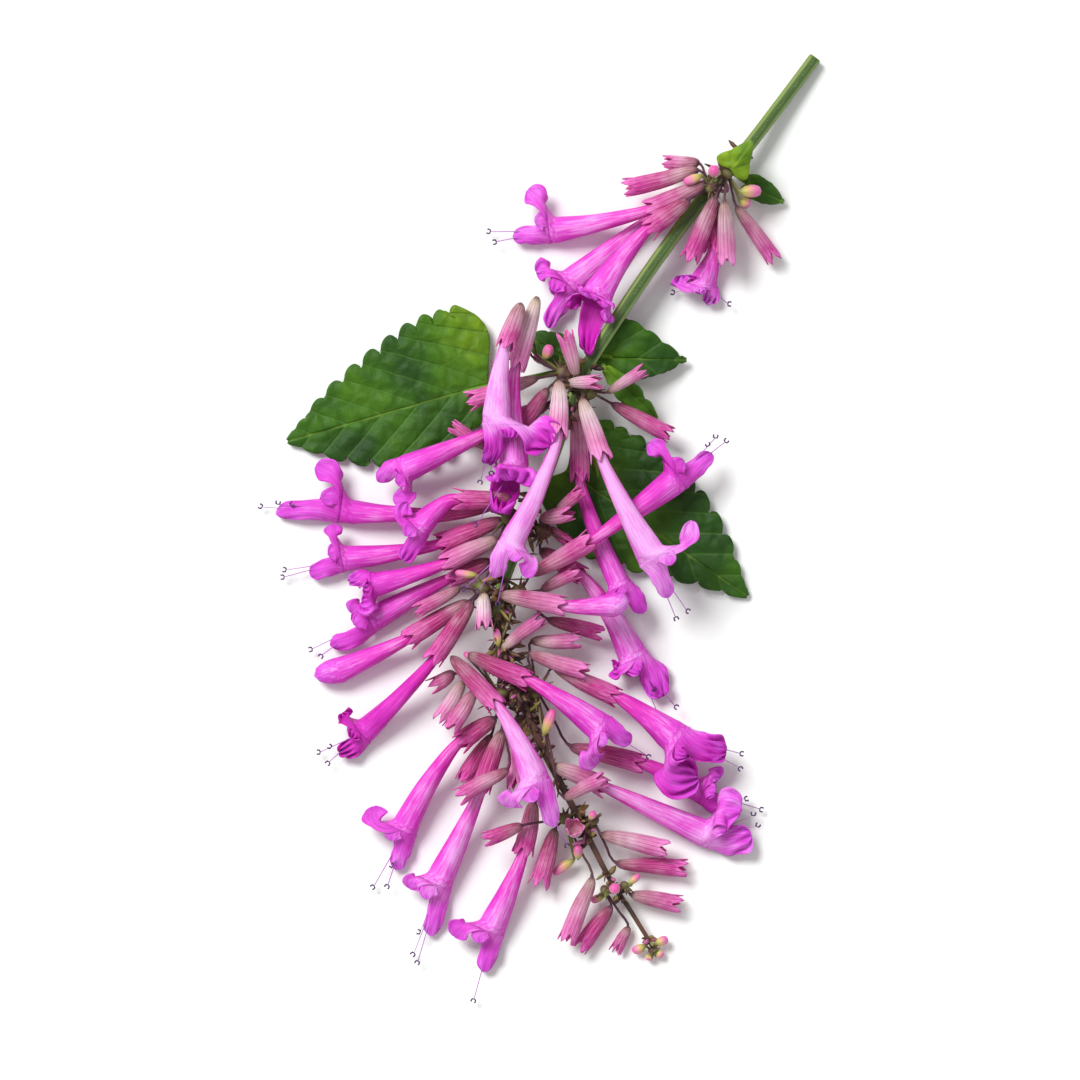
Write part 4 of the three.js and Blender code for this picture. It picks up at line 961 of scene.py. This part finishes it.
hairs = calyx_graph.noise(calyx_graph.stretch(uv, (12, 50, 1)), 1, 3)
streak = calyx_graph.mask(hairs, 0.42, 0.62)
patch = calyx_graph.noise(coords, 320, 3)
shift = calyx_graph.math("MULTIPLY_ADD", patch, 1.5, -0.85)
colour = calyx_graph.mix(calyx_graph.math("ADD", pale, shift), dark, light)
colour = calyx_graph.cover(colour, rib, 0.6, 0x701C4C)
colour = calyx_graph.cover(colour, streak, 0.25, 0xF8B4DC)
colour = calyx_graph.cover(colour, inside, 0.5, 0xC8307C)
calyx_graph.paint(colour)
height = calyx_graph.math("ADD", rib, calyx_graph.math("MULTIPLY", streak, 0.4))
calyx_graph.relief(height, 0.1 * MM)

bract = Graph("bract", roughness=0.6)
coords = bract.node("TexCoord", "Object", {}, {})
bract.paint(bract.ramp(bract.noise(coords, 600, 3), [
    (0.35, 0x3A2424), (0.5, 0x5E4034), (0.65, 0x6C7038)]))

bud_graph = Graph("bud", roughness=0.5, sheen_weight=0.2)
along, _, _ = bud_graph.tone()
bud_graph.paint(bud_graph.ramp(along, [
    (0.0, 0x6E6A34), (0.25, 0xBCB45C), (0.45, 0xDCA482), (0.7, 0xDC78AC),
    (1.0, 0xDE50A0)]))


def bend_side(knob, foot, end):
    """The way across a path that bends once at its foot."""
    bend = (foot - knob).normalized().cross((end - foot).normalized())
    if bend.length > 0.05:
        return bend.normalized()
    way = (end - foot).normalized()
    return way.cross(Vector((1, 0, 0)) if abs(way.z) > 0.8 else UP).normalized()


def calyx(bm, knob, via, foot, mouth, radius, pale, draw):
    """Stalk and calyx in one skin, from the knob to the teeth, and back down inside the hollow."""
    long = (mouth - foot).length / MM
    via = via or [knob.lerp(foot, 0.6)]
    path = Path([knob, *via, foot, foot.lerp(mouth, 0.5), mouth])
    start = path.reached[25 * (len(via) + 1)] / path.length
    side = bend_side(via[-1], foot, mouth)
    notch = 1 - TOOTH / long
    tooth_lean = [draw.uniform(*TOOTH_LEAN) for _ in range(5)]
    turn = draw.random()

    rows = [(0, 0, None), (0.03, 0.14, None)]
    rows += [(start * share, STALK, None) for share in (0.2, 0.35, 0.5, 0.65, 0.8, 0.93)]
    rows += [(start + (1 - start) * notch * c, radius * share, None) for c, share in CALYX_BODY]
    rows += [(None, radius, t) for t in TOOTH_ROWS]
    rows += [(None, radius - CALYX_WALL, t) for t in reversed(TOOTH_ROWS)]
    deep = 1 - HOLLOW / long
    floor = start + (1 - start) * max(deep, 0.3)
    rows += [(floor, 0.6 * radius, None), (floor, 0, None)]

    def tooth_at(w):
        part = (w + turn) % 1 * 5
        return int(part) % 5, 1 - abs(2 * (part % 1) - 1)

    def place(row, w):
        share, reach, t = rows[row]
        angle = -2 * math.pi * w
        if t is None:
            return ring_point(stations[row], reach * MM, angle)
        which, ripe = tooth_at(w)
        out = t * ripe ** 0.8
        share = start + (1 - start) * (notch + (1 - notch) * out)
        reach += tooth_lean[which] * out * radius
        return ring_point(path.station(share, side), reach * MM, angle)

    def tone(row, w):
        share, _, t = rows[row]
        if t is not None:
            share = start + (1 - start) * (notch + (1 - notch) * t * tooth_at(w)[1] ** 0.8)
        inner = row >= len(rows) - 2 - len(TOOTH_ROWS)
        return max(0, (share - start) / (1 - start)), pale, float(inner)

    stations = [path.station(share, side) if share is not None else None for share, _, _ in rows]
    skin(bm, len(rows) - 1, CALYX_SIDES, place, tone)


def bud(bm, knob, foot, tip, radius):
    """A stalk and the closed bud that it carries, with five shallow folds."""
    path = Path([knob, knob.lerp(foot, 0.6), foot, foot.lerp(tip, 0.5), tip])
    stalk, long = (foot - knob).length, (tip - foot).length
    start = stalk / (stalk + long)
    side = bend_side(knob, foot, tip)
    rows = [(0, 0), (0.04, 0.14), (start * 0.6, STALK), (start, 0.2)]
    rows += [(start + (1 - start) * share, radius * width) for share, width in (
        (0.12, 0.55), (0.3, 0.85), (0.5, 1), (0.68, 0.96), (0.82, 0.84), (0.93, 0.6), (1, 0))]
    stations = [path.station(share, side) for share, _ in rows]

    def place(row, w):
        fold = 1 + (0.06 * math.cos(10 * math.pi * w) if row > 4 else 0)
        return ring_point(stations[row], rows[row][1] * MM * fold, -2 * math.pi * w)

    skin(bm, len(rows) - 1, 20, place,
         lambda row, w: (max(0, (rows[row][0] - start) / (1 - start)), 0, 0), 2)


for name, cyme in CYMES.items():
    draw = random.Random(name)
    knob = beside_stem(at(*cyme["knob"]), cyme["size"])
    bm = new_skin_mesh()
    for bloom_name in cyme["blooms"]:
        own = BLOOMS[bloom_name]
        calyx(bm, knob, [at(*point) for point in own.get("via", [])], at(*own["foot"]),
              at(*own["mouth"]), BLOOM_CALYX, own.get("pale", 0.1), draw)
    for foot, mouth, radius, pale in cyme["calyces"]:
        calyx(bm, knob, [], at(*foot), at(*mouth), radius, pale, draw)
    for foot, tip, radius in cyme["buds"]:
        bud(bm, knob, at(*foot), at(*tip), radius)

    first = len(bm.faces)
    ball = bmesh.ops.create_icosphere(bm, subdivisions=3, radius=cyme["size"] * MM,
                                      matrix=Matrix.Translation(knob))["verts"]
    for vert in ball:
        vert.co += (vert.co - knob) * 0.25 * noise.noise(vert.co * 900)
    bm.faces.ensure_lookup_table()
    for face in bm.faces[first:]:
        face.material_index = 1
    for _ in range(9):
        way = Vector([draw.uniform(-1, 1) for _ in range(3)])
        way = (way + (knob - stem_path.place(0.5)).normalized() * 0.2).normalized()
        way.z = abs(way.z) * 0.6
        long = draw.uniform(1.6, 3.2) * cyme["size"] * MM
        tip = knob + way * long + Vector([draw.uniform(-0.3, 0.3) for _ in range(3)]) * MM
        tip.z = max(tip.z, 0.3 * MM)
        rod(bm, [knob, knob.lerp(tip, 0.5), tip],
            [(0, 0.22), (0.5, 0.2), (0.9, 0.07)], lambda share: (share, 0, 0), 6, 1)

    cyme_object = finished(f"{name}_cluster", bm, [calyx_graph, bract, bud_graph])
    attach(cyme_object, "root")
    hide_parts(name)

# Bracts: dry bracts, stalk scars, threads and young buds, crowded on the stem where the whorls
# sit. Brown, olive, tan and pink; each one grows from the stem's skin.
WHORLS = [  # from and to, how many, length in millimetres
    ((742, 152, 3), (706, 192, 3.6), 46, 1.7), ((590, 362, 5), (560, 420, 5.4), 60, 2.2),
    ((540, 492, 5.5), (514, 560, 5.6), 46, 2.2), ((503, 576, 5.6), (500, 640, 5.4), 80, 2.3),
    ((500, 640, 5.4), (530, 724, 5), 140, 2.5), ((530, 724, 5), (566, 790, 4), 40, 1.2),
    ((570, 804, 3.8), (592, 840, 3.3), 44, 1.7), ((604, 872, 2.9), (624, 900, 2.2), 36, 1.2),
    ((646, 936, 1.6), (652, 944, 1.4), 12, 0.9),
]

dry = Graph("dry_bract", roughness=0.65)
kind, _, _ = dry.tone()
coords = dry.node("TexCoord", "Object", {}, {})
shade = dry.ramp(kind, [
    (0.0, 0x33201F), (0.4, 0x5C3A32), (0.6, 0x7A5A40), (0.72, 0x98983E),
    (0.82, 0xB48C58), (0.9, 0xB85A86), (1.0, 0xE07CB8)])
dry.paint(dry.mix(dry.math("MULTIPLY", dry.noise(coords, 1500, 3), 0.4), shade, 0x2A1A16))

draw = random.Random(11)
bm = new_skin_mesh()
for first, last, count, long in WHORLS:
    start, end = stem_share(at(*first)), stem_share(at(*last))
    for _ in range(count):
        share = draw.uniform(start, end)
        station = stem_path.station(share, UP)
        angle = math.radians(draw.uniform(-115, 115))
        root = ring_point(station, graded(STEM_RADIUS, share) * 0.9 * MM, angle)
        outward = (root - station[0]).normalized()
        way = (outward + station[1] * draw.uniform(-0.6, 1.4)).normalized()
        reach = draw.uniform(0.35, 1) * long * MM
        curl = Vector([draw.uniform(-1, 1) for _ in range(3)]) * reach * 0.3
        middle, tip = root + way * reach * 0.5 + curl * 0.5, root + way * reach + curl
        thick = draw.choice((0.1, 0.2, 0.28, 0.36)) * min(1, reach / MM)
        hue = draw.random() ** 1.2
        rod(bm, [root, middle, tip],
            [(0, 0.7 * thick), (0.25, thick), (0.6, thick), (0.85, 0.6 * thick), (1, 0.2 * thick)],
            lambda share: (hue, 0, 0), 7)
bract_object = finished("bracts", bm, [dry])
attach(bract_object, "root")
